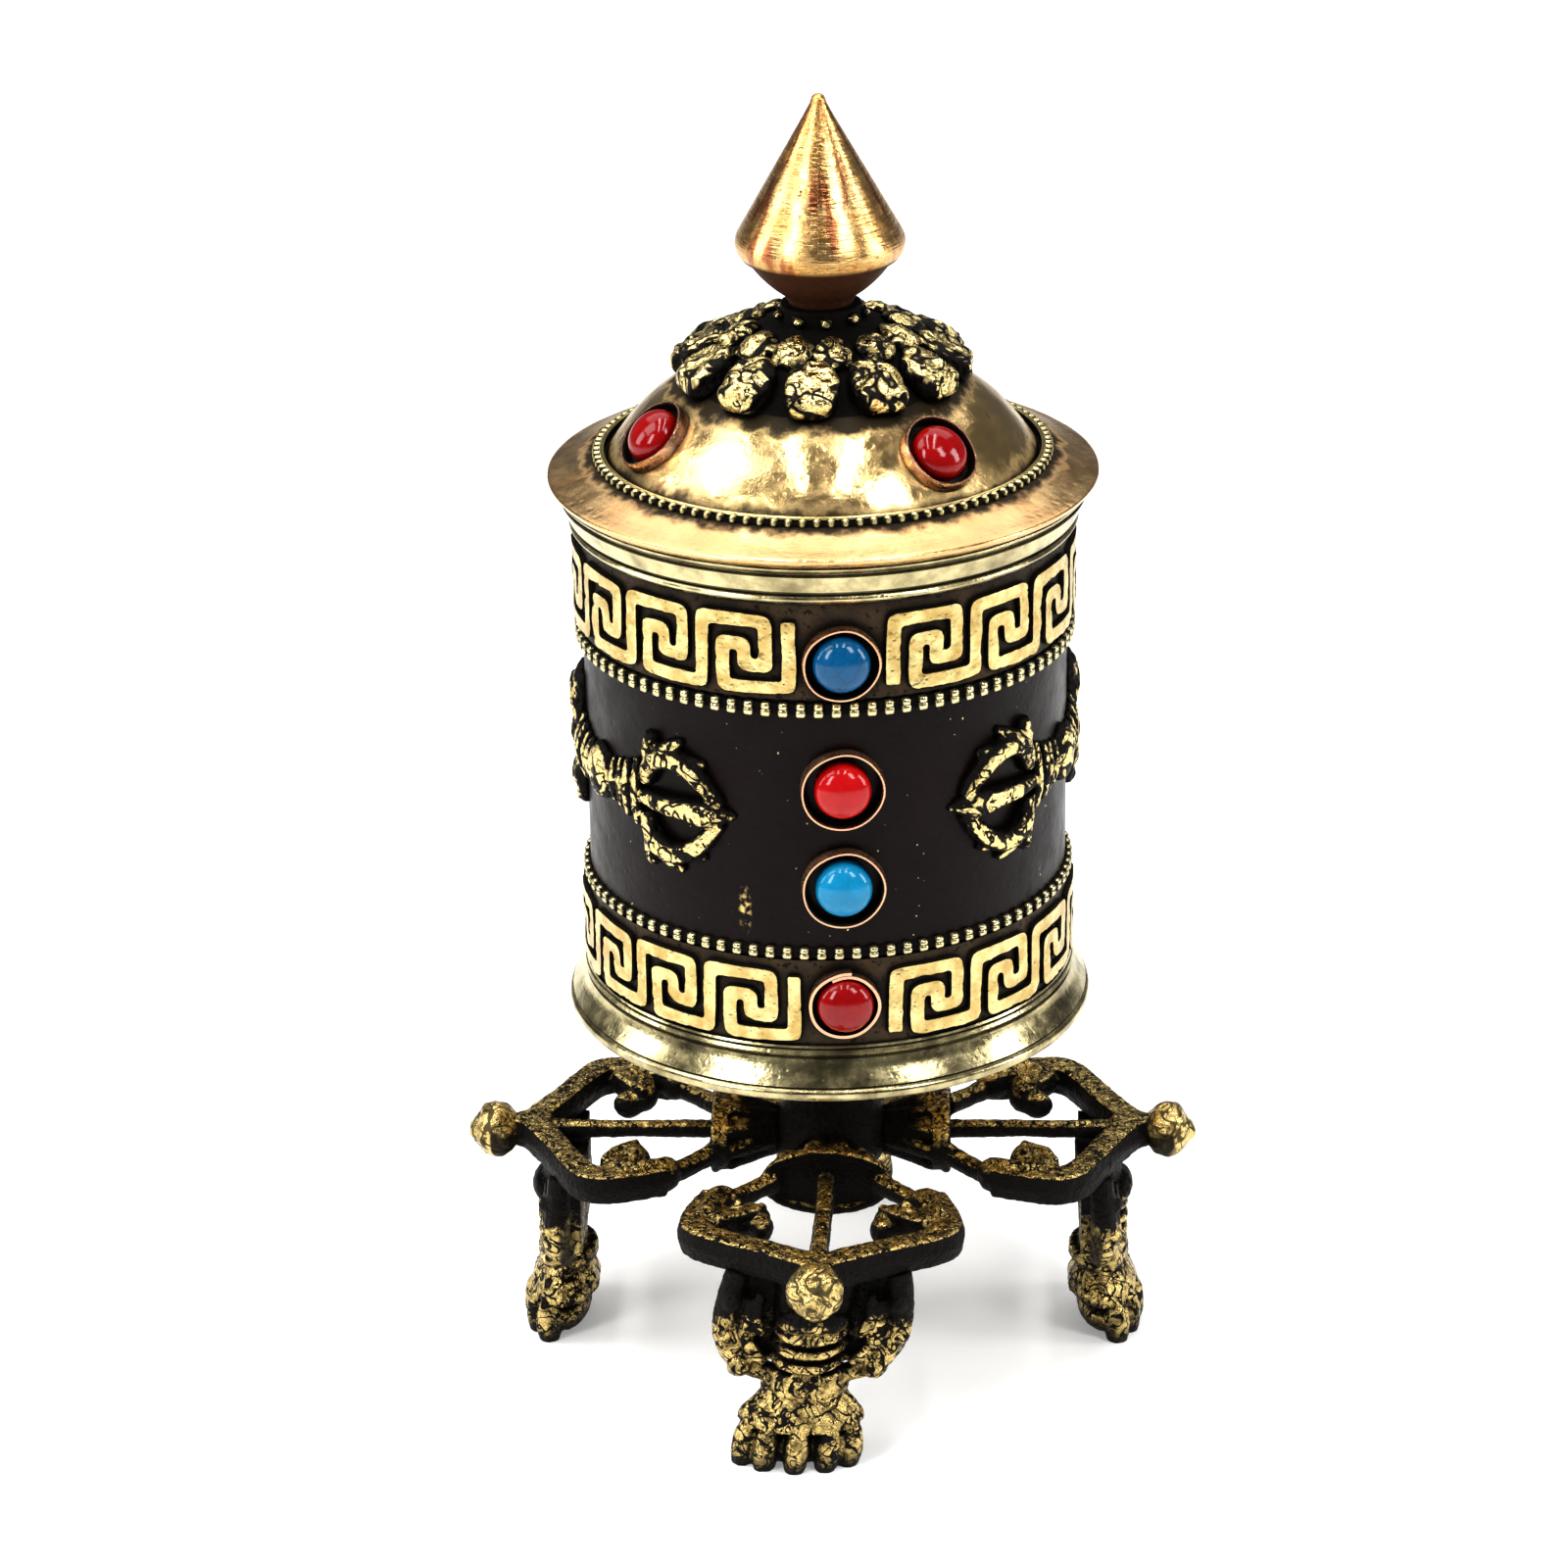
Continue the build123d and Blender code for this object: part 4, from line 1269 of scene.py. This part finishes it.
class PRAYERWHEEL_OT_vajras(PieceOperator):
    """Model the three cast vajras on the dark sheet"""

    bl_idname = "prayer_wheel.vajras"
    bl_label = "Vajras"

    def model(self):
        for number in COLUMNS:
            node_name = f"vajra_{number}"
            flat = self.flat_vajra(number)
            flat.data.transform(Matrix.Translation((0, middle(node_name).z, 0)))
            wrap_round_drum(flat, SHELL_R, turn_of(node_name))
            finish(
                flat, f"{node_name}_cast", FINISHES["relief"], WHEEL, node_name, smooth=60,
                slot="applique_brass",
            )

    def flat_vajra(self, seed):
        """A vajra laid along x: a ball, rings, and a looped head with spurs at each end."""
        parts = [ball(1.0, (0, 0, 0.2), (2.5, 3.1, 1.35), segments=24, rings=12)]
        parts.append(bar([(-7, 0, -0.3), (7, 0, -0.3)], [1.3, 1.3]))
        rings = ((3.2, 2.3, 0.55, 0.7), (4.5, 2.6, 0.5, 0.75), (5.8, 3.0, 0.62, 0.85), (7.2, 3.5, 0.6, 0.85))
        for side in (-1, 1):
            for x, tall, thick, out in rings:
                bend = side * 0.6
                line = [
                    (side * x - bend, -tall, 0.0), (side * x, -tall * 0.4, out),
                    (side * x, tall * 0.4, out), (side * x - bend, tall, 0.0),
                ]
                parts.append(bar(line, [thick * 0.8, thick, thick, thick * 0.8]))
            parts.append(
                bar(
                    [
                        (side * 8.0, 0, 0.5), (side * 11.0, 0, 0.7), (side * 14.0, 0, 0.7),
                        (side * 16.3, 0, 0.5), (side * 18.9, 0, 0.1),
                    ],
                    [0.8, 1.15, 1.15, 1.7, 0.25],
                )
            )
            for up in (-1, 1):
                parts += self.prong(side, up)
        vajra = join(parts, "vajra")
        cast(vajra, 0.17, smooth=1, grains=((1.1 + 0.1 * seed, 0.24), (0.5, 0.12)))
        level(vajra, 2, -0.2, 1.62)
        return vajra

    def prong(self, side, up):
        """One curved side prong of a head with its spurs."""
        def line(*points):
            return [(side * x, up * y, z) for x, y, z in points]
        return [
            bar(
                line(
                    (8.4, 1.6, 0.2), (9.0, 3.8, 0.5), (11.2, 5.2, 0.7), (13.8, 4.7, 0.7), (16.0, 2.6, 0.5),
                    (17.2, 0.9, 0.3),
                ),
                [0.9, 1.25, 1.15, 1.1, 1.0, 0.7],
            ),
            bar(line((9.4, 4.2, 0.4), (8.6, 5.4, 0.3), (8.9, 7.0, 0.1)), [1.1, 0.95, 0.6]),
            ball(0.85, (side * 9.2, up * 6.3, 0.4), segments=12, rings=8),
            bar(line((10.4, 4.9, 0.5), (11.6, 6.2, 0.4), (13.0, 6.9, 0.1)), [1.1, 0.95, 0.4]),
            bar(line((13.2, 4.8, 0.5), (14.6, 5.1, 0.4), (15.6, 5.0, 0.1)), [0.9, 0.7, 0.35]),
        ]


class PRAYERWHEEL_OT_stones(PieceOperator):
    """Model the cabochons and the strips round them"""

    bl_idname = "prayer_wheel.stones"
    bl_label = "Stones and Collars"

    STONE_RADIUS, STONE_DOME, STONE_LIFT, STONE_ROOT = 2.82, 1.8, 1.0, 2.2
    LID_SEAT_RADIUS, LID_SEAT_HEIGHT, LID_TILT = 18.1, 103.05, 45
    LID_COLLAR_RADIUS, LID_COLLAR_SEED = 3.9, 10

    ROWS = (
        # node row, collar node, finish, slot, collar radius, height of the seat over the sheet
        ("turquoise_upper", "bezels_upper", "deep_blue", "blue_stone", 3.82, 0.35),
        ("coral_middle", "bezels_coral", "coral", "red_stone", 4.15, 0.0),
        ("turquoise_middle", "bezels_turquoise", "light_blue", "light_blue_stone", 4.15, 0.0),
        ("coral_lower", "bezels_lower", "crimson", "dark_red_stone", 3.6, 0.35),
    )

    def model(self):
        for row, collar_node, finish_name, slot, radius, step in self.ROWS:
            for number in COLUMNS:
                node_name = f"{row}_{number}"
                outward = outwards(turn_of(f"coral_middle_{number}"))
                base = outward * (SHELL_R + step) + Vector((0, 0, middle(node_name).z))
                self.set_stone(node_name, finish_name, slot, base, outward, WHEEL)
                open_end = row == "coral_lower" and number == 1
                self.set_collar(
                    f"{row}_collar_{number}", collar_node, radius, base, outward, WHEEL, number, open_end,
                )
        for number in COLUMNS:
            node_name = f"coral_lid_{number}"
            turn = turn_of(node_name)
            outward = outwards(turn, self.LID_TILT)
            seat = outwards(turn) * self.LID_SEAT_RADIUS + Vector((0, 0, self.LID_SEAT_HEIGHT))
            self.set_stone(node_name, "crimson", "dark_red_stone", seat, outward, LID)
            seed = self.LID_COLLAR_SEED + number
            self.set_collar(
                f"lid_collar_{number}", "bezels_lid", self.LID_COLLAR_RADIUS, seat, outward, LID, seed,
                False,
            )

    def set_stone(self, node_name, finish_name, slot, base, outward, body):
        """A domed stone on its seat."""
        wide, dome, lift = self.STONE_RADIUS, self.STONE_DOME, self.STONE_LIFT
        arc = [(wide * sin(radians(a)), lift + dome * cos(radians(a))) for a in range(8, 91, 8)]
        root = lift - self.STONE_ROOT
        gem = lathe("gem", [(0.0, lift + dome), *arc, (wide, lift), (wide, root), (0.0, root)], steps=48)
        place_facing(gem, base, outward)
        finish(gem, f"{node_name}_polished", FINISHES[finish_name], body, node_name, smooth=40, slot=slot)

    def set_collar(self, name, node_name, radius, base, outward, body, seed, open_end):
        """A thin uneven strip bent round a stone; an open one overlaps at its end."""
        if open_end:
            strip = self.open_strip(radius)
        else:
            profile = [
                (radius - 0.38, -0.9), (radius, -0.9), (radius - 0.02, 1.2), (radius - 0.1, 1.42),
                (radius - 0.26, 1.42), (radius - 0.4, 1.15), (radius - 0.38, -0.9),
            ]
            strip = lathe("strip", profile, steps=56)
        chance = random.Random(seed)
        phase = chance.uniform(0, 6)
        wave = sizes().collar_wave
        for vertex in strip.data.vertices:
            angle = math.atan2(vertex.co.y, vertex.co.x)
            push = 1 + wave / radius * sin(2 * angle + phase) + 0.4 * wave / radius * sin(5 * angle + phase)
            vertex.co.x *= push
            vertex.co.y *= push
            if vertex.co.z > 0:
                vertex.co.z += wave * sin(3 * angle + phase)
        place_facing(strip, base, outward)
        finish(strip, name, FINISHES["collar"], body, node_name, smooth=45, slot="collar_copper")

    def open_strip(self, radius):
        """A strip whose end lies over its start."""
        clear_selection()
        bpy.ops.mesh.primitive_plane_add(size=1)
        strip = active()
        bpy.ops.object.mode_set(mode="EDIT")
        bpy.ops.mesh.select_all(action="SELECT")
        bpy.ops.mesh.merge(type="CENTER")
        bpy.ops.transform.translate(value=(radius - 0.42, 0, -0.9))
        bpy.ops.mesh.extrude_vertices_move(TRANSFORM_OT_translate={"value": (0, 0, 2.2)})
        bpy.ops.mesh.select_all(action="SELECT")
        bpy.ops.mesh.spin(steps=64, angle=radians(395), center=(0, 0, 0), axis=(0, 0, 1))
        bpy.ops.object.mode_set(mode="OBJECT")
        count = len(strip.data.vertices)
        for index, vertex in enumerate(strip.data.vertices):
            along = (index // 2) / (count / 2)
            grow = 1 + 0.13 * along
            vertex.co.x *= grow
            vertex.co.y *= grow
        modify(strip, "SOLIDIFY", thickness=0.3, offset=0)
        strip.data.transform(Matrix.Rotation(radians(120), 4, "Z"))
        return strip


# ---------------------------------------------------------------- stand
class PRAYERWHEEL_OT_hub(PieceOperator):
    """Model the cast hub of the stand"""

    bl_idname = "prayer_wheel.hub"
    bl_label = "Hub"

    def model(self):
        bottom, top = low("stand_hub"), high("stand_hub")
        profile = [(1.5, bottom), (4.4, bottom)]
        profile += flowing(
            [
                (4.9, bottom + 0.4), (5.9, bottom + 2.0), (6.2, bottom + 3.7), (5.6, bottom + 6.0),
                (3.9, bottom + 8.4), (3.5, bottom + 10.4), (4.6, bottom + 12.6), (5.2, bottom + 14.0),
                (4.6, bottom + 15.4),
            ],
            4,
        )
        profile += [(3.4, top - 1.8), (3.3, top), (1.5, top), (1.5, bottom)]
        hub = lathe("hub", profile, steps=72)
        leaves = [
            ball(1.0, (4.3 * sin(a), 4.3 * cos(a), bottom + 12.4), (1.1, 1.1, 1.9), segments=12, rings=8)
            for a in (2 * pi * (step + 0.5) / 8 for step in range(8))
        ]
        hub = join([hub, *leaves], "hub")
        cast(hub, 0.3, smooth=1, grains=((1.4, 0.2),))
        finish(hub, "stand_hub_cast", FINISHES["arm"], STAND, "stand_hub", smooth=60, slot="cast_brass")


class PRAYERWHEEL_OT_arms(PieceOperator):
    """Model the four cast arms of the crossed vajra"""

    bl_idname = "prayer_wheel.arms"
    bl_label = "Arms"

    def model(self):
        arm = self.front_arm()
        arm.data.transform(Matrix.Translation((0, 0, middle("arm_front").z)))
        knob = self.knob()
        knob.data.transform(Matrix.Translation((0, 0, middle("arm_front").z)))
        for place, degrees in PLACES.items():
            end = copy_turned(knob, degrees)
            finish(
                end, f"arm_{place}_knob", FINISHES["knob"], STAND, f"arm_{place}", smooth=60,
                slot="cast_brass",
            )
            twin = copy_turned(arm, degrees)
            roughen_seed = Matrix.Translation((degrees * 0.37, 0, 0))
            twin.data.transform(roughen_seed)
            roughen(twin, 1.3, sizes().cast_grain * 1.3)
            roughen(twin, 0.5, sizes().cast_grain * 0.7)
            twin.data.transform(roughen_seed.inverted())
            finish(
                twin, f"arm_{place}_cast", FINISHES["arm"], STAND, f"arm_{place}", smooth=60,
                slot="cast_brass",
            )
        bpy.data.objects.remove(arm)
        bpy.data.objects.remove(knob)

    def knob(self):
        """The pointed, slightly faceted knob at the end of an arm."""
        parts = [
            ball(1.0, (0, -35.7, 0), (3.0, 2.55, 3.0), segments=14, rings=10),
            ball(1.0, (0, -34.4, 0), (2.0, 1.5, 2.0), segments=12, rings=8),
            bar([(0, -36.6, 0), (0, -37.8, 0), (0, -38.6, 0)], [2.5, 1.75, 0.8]),
        ]
        knob = join(parts, "knob")
        cast(knob, 0.2, smooth=2, grains=((2.2, 0.5), (0.7, 0.18)))
        level(knob, 1, -38.85, 0.0)
        return knob

    def front_arm(self):
        """The arm that points to the front, its middle plane at z = 0."""
        plate = self.flat_plate()
        parts = [plate]
        parts.append(self.lotus_cone())
        parts.append(
            bar([(0, -12.0, 0), (0.15, -18, 0.1), (0, -24, 0), (0, -31.0, 0)], [1.05, 0.95, 0.95, 1.15])
        )
        parts.append(bar([(0, -32.6, 0), (0, -33.6, 0), (0, -34.8, 0)], [1.6, 1.45, 1.6]))
        for side in (-1, 1):
            parts += self.makara(side)
        arm = join(parts, "arm")
        cast(arm, sizes().cast_voxel, smooth=1)
        return arm

    def flat_plate(self):
        """The two side prongs and the nose, flat on top and beneath with rounded edges."""
        bars = [bar([(0, -29.9, 0), (0, -31.4, 0), (0, -32.6, 0), (0, -33.8, 0)], [2.9, 2.6, 1.9, 1.4], 1.5)]
        for side in (-1, 1):
            path = [
                (0.8, -31.6), (4.6, -29.4), (9.0, -27.4), (12.3, -25.6), (13.1, -23.6), (12.3, -20.6),
                (11.0, -17.4),
            ]
            bars.append(bar([(side * x, y, 0) for x, y in path], [1.7, 1.65, 1.6, 1.75, 1.85, 1.9, 1.9], 1.5))
        plate = join(bars, "plate")
        cast(plate, sizes().cast_voxel, smooth=0)
        level(plate, 2, -1.6, 1.6)
        return plate

    def lotus_cone(self):
        """The flower that opens from the hub to the oval collar."""
        clear_selection()
        bpy.ops.mesh.primitive_cone_add(
            vertices=32, radius1=2.2, radius2=5.0, depth=6.6, location=(0, -8.0, 0),
            rotation=(radians(90), 0, 0), scale=(1, 0.68, 1),
        )
        apply_place(active())
        parts = [active()]
        clear_selection()
        bpy.ops.mesh.primitive_cylinder_add(
            vertices=40, radius=6.6, depth=1.4, location=(0, -11.5, 0), rotation=(radians(90), 0, 0),
            scale=(1, 0.53, 1),
        )
        apply_place(active())
        parts.append(active())
        rim = [(6.55 * cos(radians(a)), -12.2, 3.3 * sin(radians(a))) for a in range(0, 361, 18)]
        parts.append(bar(rim, [0.5] * len(rim)))
        for step in range(10):
            angle = 2 * pi * step / 10
            x, z = cos(angle), sin(angle)
            parts.append(
                bar(
                    [(2.2 * x, -5.6, 1.9 * z), (3.4 * x, -8.4, 2.3 * z), (5.8 * x, -10.8, 3.1 * z)],
                    [0.7, 1.0, 0.7],
                )
            )
        return join(parts, "cone")

    def makara(self, side):
        """The curled beast's head at the inner end of a side prong, and its thin link to the collar."""
        return [
            ball(1.0, (side * 8.1, -20.9, 0.1), (2.9, 2.0, 1.75), (0, 0, side * radians(-14)), 18, 10),
            ball(1.0, (side * 10.8, -22.2, 0.3), (2.6, 1.9, 1.6), (0, 0, side * radians(20)), 16, 10),
            ball(1.0, (side * 6.2, -22.0, -0.3), (1.3, 1.7, 1.5), segments=14, rings=8),
            ball(0.62, (side * 8.6, -20.6, 1.7), segments=10, rings=6),
            bar(
                [(side * 6.0, -20.2, 1.3), (side * 7.6, -22.6, 1.5), (side * 10.2, -23.6, 1.4)],
                [0.5, 0.6, 0.5],
            ),
            bar(
                [(side * 12.0, -22.0, 1.5), (side * 11.9, -19.6, 1.7), (side * 10.6, -17.0, 1.4)],
                [0.6, 0.8, 0.6],
            ),
            ball(1.0, (side * 10.6, -17.2, 0.1), (2.0, 1.8, 1.8), segments=16, rings=10),
            bar(
                [(side * 10.2, -16.8, -0.2), (side * 8.2, -14.6, -0.3), (side * 5.4, -12.2, 0)],
                [1.2, 1.0, 1.2],
            ),
        ]


class PRAYERWHEEL_OT_legs(PieceOperator):
    """Model the four clawed legs"""

    bl_idname = "prayer_wheel.legs"
    bl_label = "Legs"

    def model(self):
        leg = self.straight_leg()
        top = high("leg_front")
        for place, degrees in PLACES.items():
            twin = copy_turned(leg, 0)
            lean = LEG_LEANS[place]
            for vertex in twin.data.vertices:
                vertex.co.x += lean * (1 - vertex.co.z / top)
            twin.data.transform(Matrix.Rotation(radians(degrees), 4, "Z"))
            roughen(twin, 1.2, sizes().cast_grain * 1.2)
            roughen(twin, 0.45, sizes().cast_grain * 0.7)
            for vertex in twin.data.vertices:
                vertex.co.z = max(vertex.co.z, 0.0)
            finish(
                twin, f"leg_{place}_cast", FINISHES["cast"], STAND, f"leg_{place}", smooth=60,
                slot="cast_brass",
            )
        bpy.data.objects.remove(leg)

    COLUMN_Y = -28.4                 # where the middle of the front leg's column stands

    def straight_leg(self):
        """An upright leg under the front arm."""
        top = high("leg_front")
        middle_y = self.COLUMN_Y
        parts = [self.shank(top, middle_y)]
        for height in (14.9, 13.3, 11.7, 10.2):
            arc = []
            for degrees in range(-80, 81, 20):
                a = radians(degrees)
                arc.append((3.9 * sin(a), middle_y - 2.75 * cos(a), height - 1.0 * cos(a) + 0.4))
            parts.append(bar(arc, [0.3, 0.42, 0.5, 0.52, 0.55, 0.52, 0.5, 0.42, 0.3]))
        parts.append(ball(1.0, (0, middle_y - 2.2, 16.4), (3.7, 1.5, 1.5), segments=18, rings=10))
        for height, reach in ((8.9, 4.0), (8.1, 4.3)):
            ring = [
                (reach * sin(radians(a)), middle_y - 0.1 - 2.9 * cos(radians(a)), height)
                for a in range(0, 361, 30)
            ]
            parts.append(bar(ring, [0.42] * len(ring)))
        instep = bar(
            [(0, 0, 8.6), (0, 0, 7.4), (0, 0, 6.0), (0, 0, 4.9), (0, 0, 4.3)], [3.7, 4.7, 5.9, 6.7, 6.6],
        )
        instep.data.transform(
            Matrix.Translation((0, middle_y - 0.5, 0)) @ Matrix.Scale(0.58, 4, Vector((0, 1, 0)))
        )
        parts.append(instep)
        parts.append(ball(1.0, (0, middle_y - 0.7, 2.2), (6.0, 2.9, 2.7), segments=24, rings=12))
        parts += self.toes(middle_y)
        for side in (-1, 1):
            parts += self.volute(side, middle_y, top)
        # A flat plate that fills the upper leg between the volutes, where it lies in shade; the painted shade
        # under the arms darkens it.
        clear_selection()
        bpy.ops.mesh.primitive_cube_add(size=1, location=(0, middle_y + 0.9, 16.2), scale=(16.0, 2.2, 9.4))
        apply_place(active())
        parts.append(active())
        leg = join(parts, "leg")
        cast(leg, sizes().cast_voxel, smooth=1)
        level(leg, 2, 0.0, top + 0.3)
        return leg

    def shank(self, top, middle_y):
        """The oval column of the leg."""
        shank = bar([(0, 0, top), (0, 0, 15), (0, 0, 10), (0, 0, 7)], [4.6, 3.9, 3.5, 3.6])
        shank.data.transform(Matrix.Translation((0, middle_y, 0)) @ Matrix.Scale(0.58, 4, Vector((0, 1, 0))))
        return shank

    def toes(self, middle_y):
        """Five long toes spread like a fan."""
        toes = []
        for step in range(-2, 3):
            angle = radians(step * 31)
            place = (6.1 * sin(angle), middle_y - 0.6 - 3.1 * cos(angle), 1.9)
            toes.append(ball(1.0, place, (1.36, 1.4, 3.2), (0, 0, angle), 14, 10))
        return toes

    def volute(self, side, middle_y, top):
        """The scrolled leaf beside the column."""
        def line(*points):
            return [(side * x, middle_y + y, z) for x, y, z in points]
        return [
            bar(
                line((4.0, 0, 9.4), (6.6, -0.4, 10.6), (8.6, -0.6, 13.6), (9.0, -0.4, 17.0), (8.2, 0, top)),
                [1.0, 1.4, 1.5, 1.4, 1.3],
            ),
            bar(
                line((4.4, -1.0, 11.2), (6.2, -1.5, 12.8), (7.0, -1.5, 15.4), (6.4, -1.2, 18.4)),
                [0.6, 0.85, 0.85, 0.7],
            ),
            bar(line((5.0, -1.6, 14.6), (6.0, -1.8, 16.6), (5.6, -1.4, 19.2)), [0.5, 0.6, 0.5]),
            ball(1.35, (side * 6.9, middle_y - 1.2, 10.9), segments=14, rings=8),
            ball(1.25, (side * 8.9, middle_y - 1.1, 14.6), segments=14, rings=8),
            ball(1.0, (side * 8.4, middle_y - 1.4, 18.0), segments=12, rings=8),
        ]


# ---------------------------------------------------------------- inside and studio
class PRAYERWHEEL_OT_works(PieceOperator):
    """Finish the spindle, bearings, scroll and tie"""

    bl_idname = "prayer_wheel.works"
    bl_label = "Works"

    def model(self):
        paint(FINISHES["steel"], "axle_rod", "axle_nut", "thrust_washer")
        paint(FINISHES["plain"], "drum_floor", "lower_bush", "lid_bush", "core_tube", "finial_stud")
        paint(FINISHES["paper"], "prayer_scroll")
        paint(FINISHES["thread"], "scroll_tie")


class PRAYERWHEEL_OT_stage(PieceOperator):
    """Set the floor, the lights and the camera"""

    bl_idname = "prayer_wheel.stage"
    bl_label = "Studio"

    FLOOR_GLOW, WORLD_GREY = 0.22, 0.14
    LENS, SENSOR = 111.8, 36.0
    LIGHTS = (
        # name, turn, elevation, distance, width, height, watts
        ("left_strip", -43, 31, 0.70, 0.15, 0.40, 2.0),
        ("right_strip", 46, 46, 0.70, 0.15, 0.30, 1.5),
        ("right_side", 86, 20, 0.70, 0.18, 0.40, 1.9),
        ("left_side", -90, 20, 0.70, 0.22, 0.36, 1.2),
        ("left_high", -85, 52, 0.75, 0.40, 0.36, 1.8),
        ("back_canopy", 180, 56, 0.90, 1.30, 0.55, 3.2),
    )
    # name, side, forward, height, width, length, watts
    TUBES = (
        ("left_tube", -0.15, 0.10, 0.88, 0.055, 0.75, 1.9),
        ("right_tube", 0.15, 0.10, 0.88, 0.055, 0.75, 1.9),
    )

    def model(self):
        self.floor()
        self.world()
        for name, turn, elevation, distance, width, height, watts in self.LIGHTS:
            offset = outwards(turn, elevation)
            self.light(
                name, OBJECT_MIDDLE + offset * distance, offset.to_track_quat("Z", "Y").to_euler(), width,
                height, watts,
            )
        for name, side, forward, height, width, length, watts in self.TUBES:
            self.light(name, Vector((side, -forward, height)), (0, 0, 0), width, length, watts)
        self.camera()
        bpy.context.scene.view_settings.view_transform = "Standard"
        bpy.context.scene.view_settings.look = "Medium High Contrast"

    def floor(self):
        clear_selection()
        bpy.ops.mesh.primitive_plane_add(size=12.0)
        floor = active()
        floor.name = "studio_floor"
        material, tree, shader = new_material("studio floor")
        cloud = node(tree, "ShaderNodeTexNoise", {"Scale": 3.0, "Detail": 3.0}).outputs[0]
        shade = darker(colours().floor, 0.97)
        wire(tree, shader, Base_Color=blend(tree, cloud, colours().floor, shade), Roughness=0.7)
        wire(tree, shader, Emission_Color=(1.0, 1.0, 1.0, 1.0), Emission_Strength=self.FLOOR_GLOW)
        floor.data.materials.append(material)

    def world(self):
        world = bpy.data.worlds.new("studio")
        world.use_nodes = True
        background = world.node_tree.nodes["Background"]
        background.inputs[0].default_value = (0.92, 0.94, 1.0, 1.0)
        background.inputs[1].default_value = self.WORLD_GREY
        bpy.context.scene.world = world

    def light(self, name, place, turn, width, length, watts):
        lamp = bpy.data.lights.new(name, "AREA")
        lamp.shape = "RECTANGLE"
        lamp.size = width
        lamp.size_y = length
        lamp.energy = watts
        piece = bpy.data.objects.new(name, lamp)
        piece.location = place
        piece.rotation_euler = turn
        bpy.context.scene.collection.objects.link(piece)

    def camera(self):
        """Looks down at the wheel from the front, turned a little about its own line of sight."""
        turn, rise, roll = 1.68, 22.22, radians(-0.96)
        distance, aim_side, aim_height = 0.5, -0.00444, 0.06264
        place = OBJECT_MIDDLE + outwards(turn, rise) * distance
        aim = Vector((aim_side * cos(radians(turn)), aim_side * sin(radians(turn)), aim_height))
        forward = (aim - place).normalized()
        right = forward.cross(Vector((0, 0, 1))).normalized()
        up = right.cross(forward)
        x_axis = right * cos(roll) + up * sin(roll)
        y_axis = up * cos(roll) - right * sin(roll)
        turned = Matrix((x_axis, y_axis, -forward)).transposed().to_4x4()
        lens = bpy.data.cameras.new("camera")
        lens.lens = self.LENS
        lens.sensor_width = self.SENSOR
        lens.clip_start = 0.01
        camera = bpy.data.objects.new("camera", lens)
        camera.matrix_world = Matrix.Translation(place) @ turned
        bpy.context.scene.collection.objects.link(camera)
        bpy.context.scene.camera = camera


PIECES = (
    PRAYERWHEEL_OT_finial, PRAYERWHEEL_OT_lotus_cap, PRAYERWHEEL_OT_lid, PRAYERWHEEL_OT_drum,
    PRAYERWHEEL_OT_bands, PRAYERWHEEL_OT_bead_wires, PRAYERWHEEL_OT_vajras, PRAYERWHEEL_OT_stones,
    PRAYERWHEEL_OT_hub, PRAYERWHEEL_OT_arms, PRAYERWHEEL_OT_legs, PRAYERWHEEL_OT_works,
    PRAYERWHEEL_OT_stage,
)


class PRAYERWHEEL_PT_panel(bpy.types.Panel):
    """Lists the pieces and their settings"""

    bl_label = "Prayer Wheel"
    bl_idname = "PRAYERWHEEL_PT_panel"
    bl_space_type = "VIEW_3D"
    bl_region_type = "UI"
    bl_category = "Prayer Wheel"

    def draw(self, context):
        for settings in (context.scene.wheel_sizes, context.scene.wheel_colours):
            box = self.layout.box()
            for key in settings.__annotations__:
                box.prop(settings, key)
        for piece in PIECES:
            self.layout.operator(piece.bl_idname)


CLASSES = (WheelSizes, WheelColours, *PIECES, PRAYERWHEEL_PT_panel)


def register():
    for each in CLASSES:
        bpy.utils.register_class(each)
    bpy.types.Scene.wheel_sizes = bpy.props.PointerProperty(type=WheelSizes)
    bpy.types.Scene.wheel_colours = bpy.props.PointerProperty(type=WheelColours)


def unregister():
    del bpy.types.Scene.wheel_colours
    del bpy.types.Scene.wheel_sizes
    for each in reversed(CLASSES):
        bpy.utils.unregister_class(each)


def main():
    register()
    FINISHES.update(build_finishes())
    for piece in PIECES:
        _, name = piece.bl_idname.split(".")
        getattr(bpy.ops.prayer_wheel, name)()


if __name__ == "__main__":
    main()
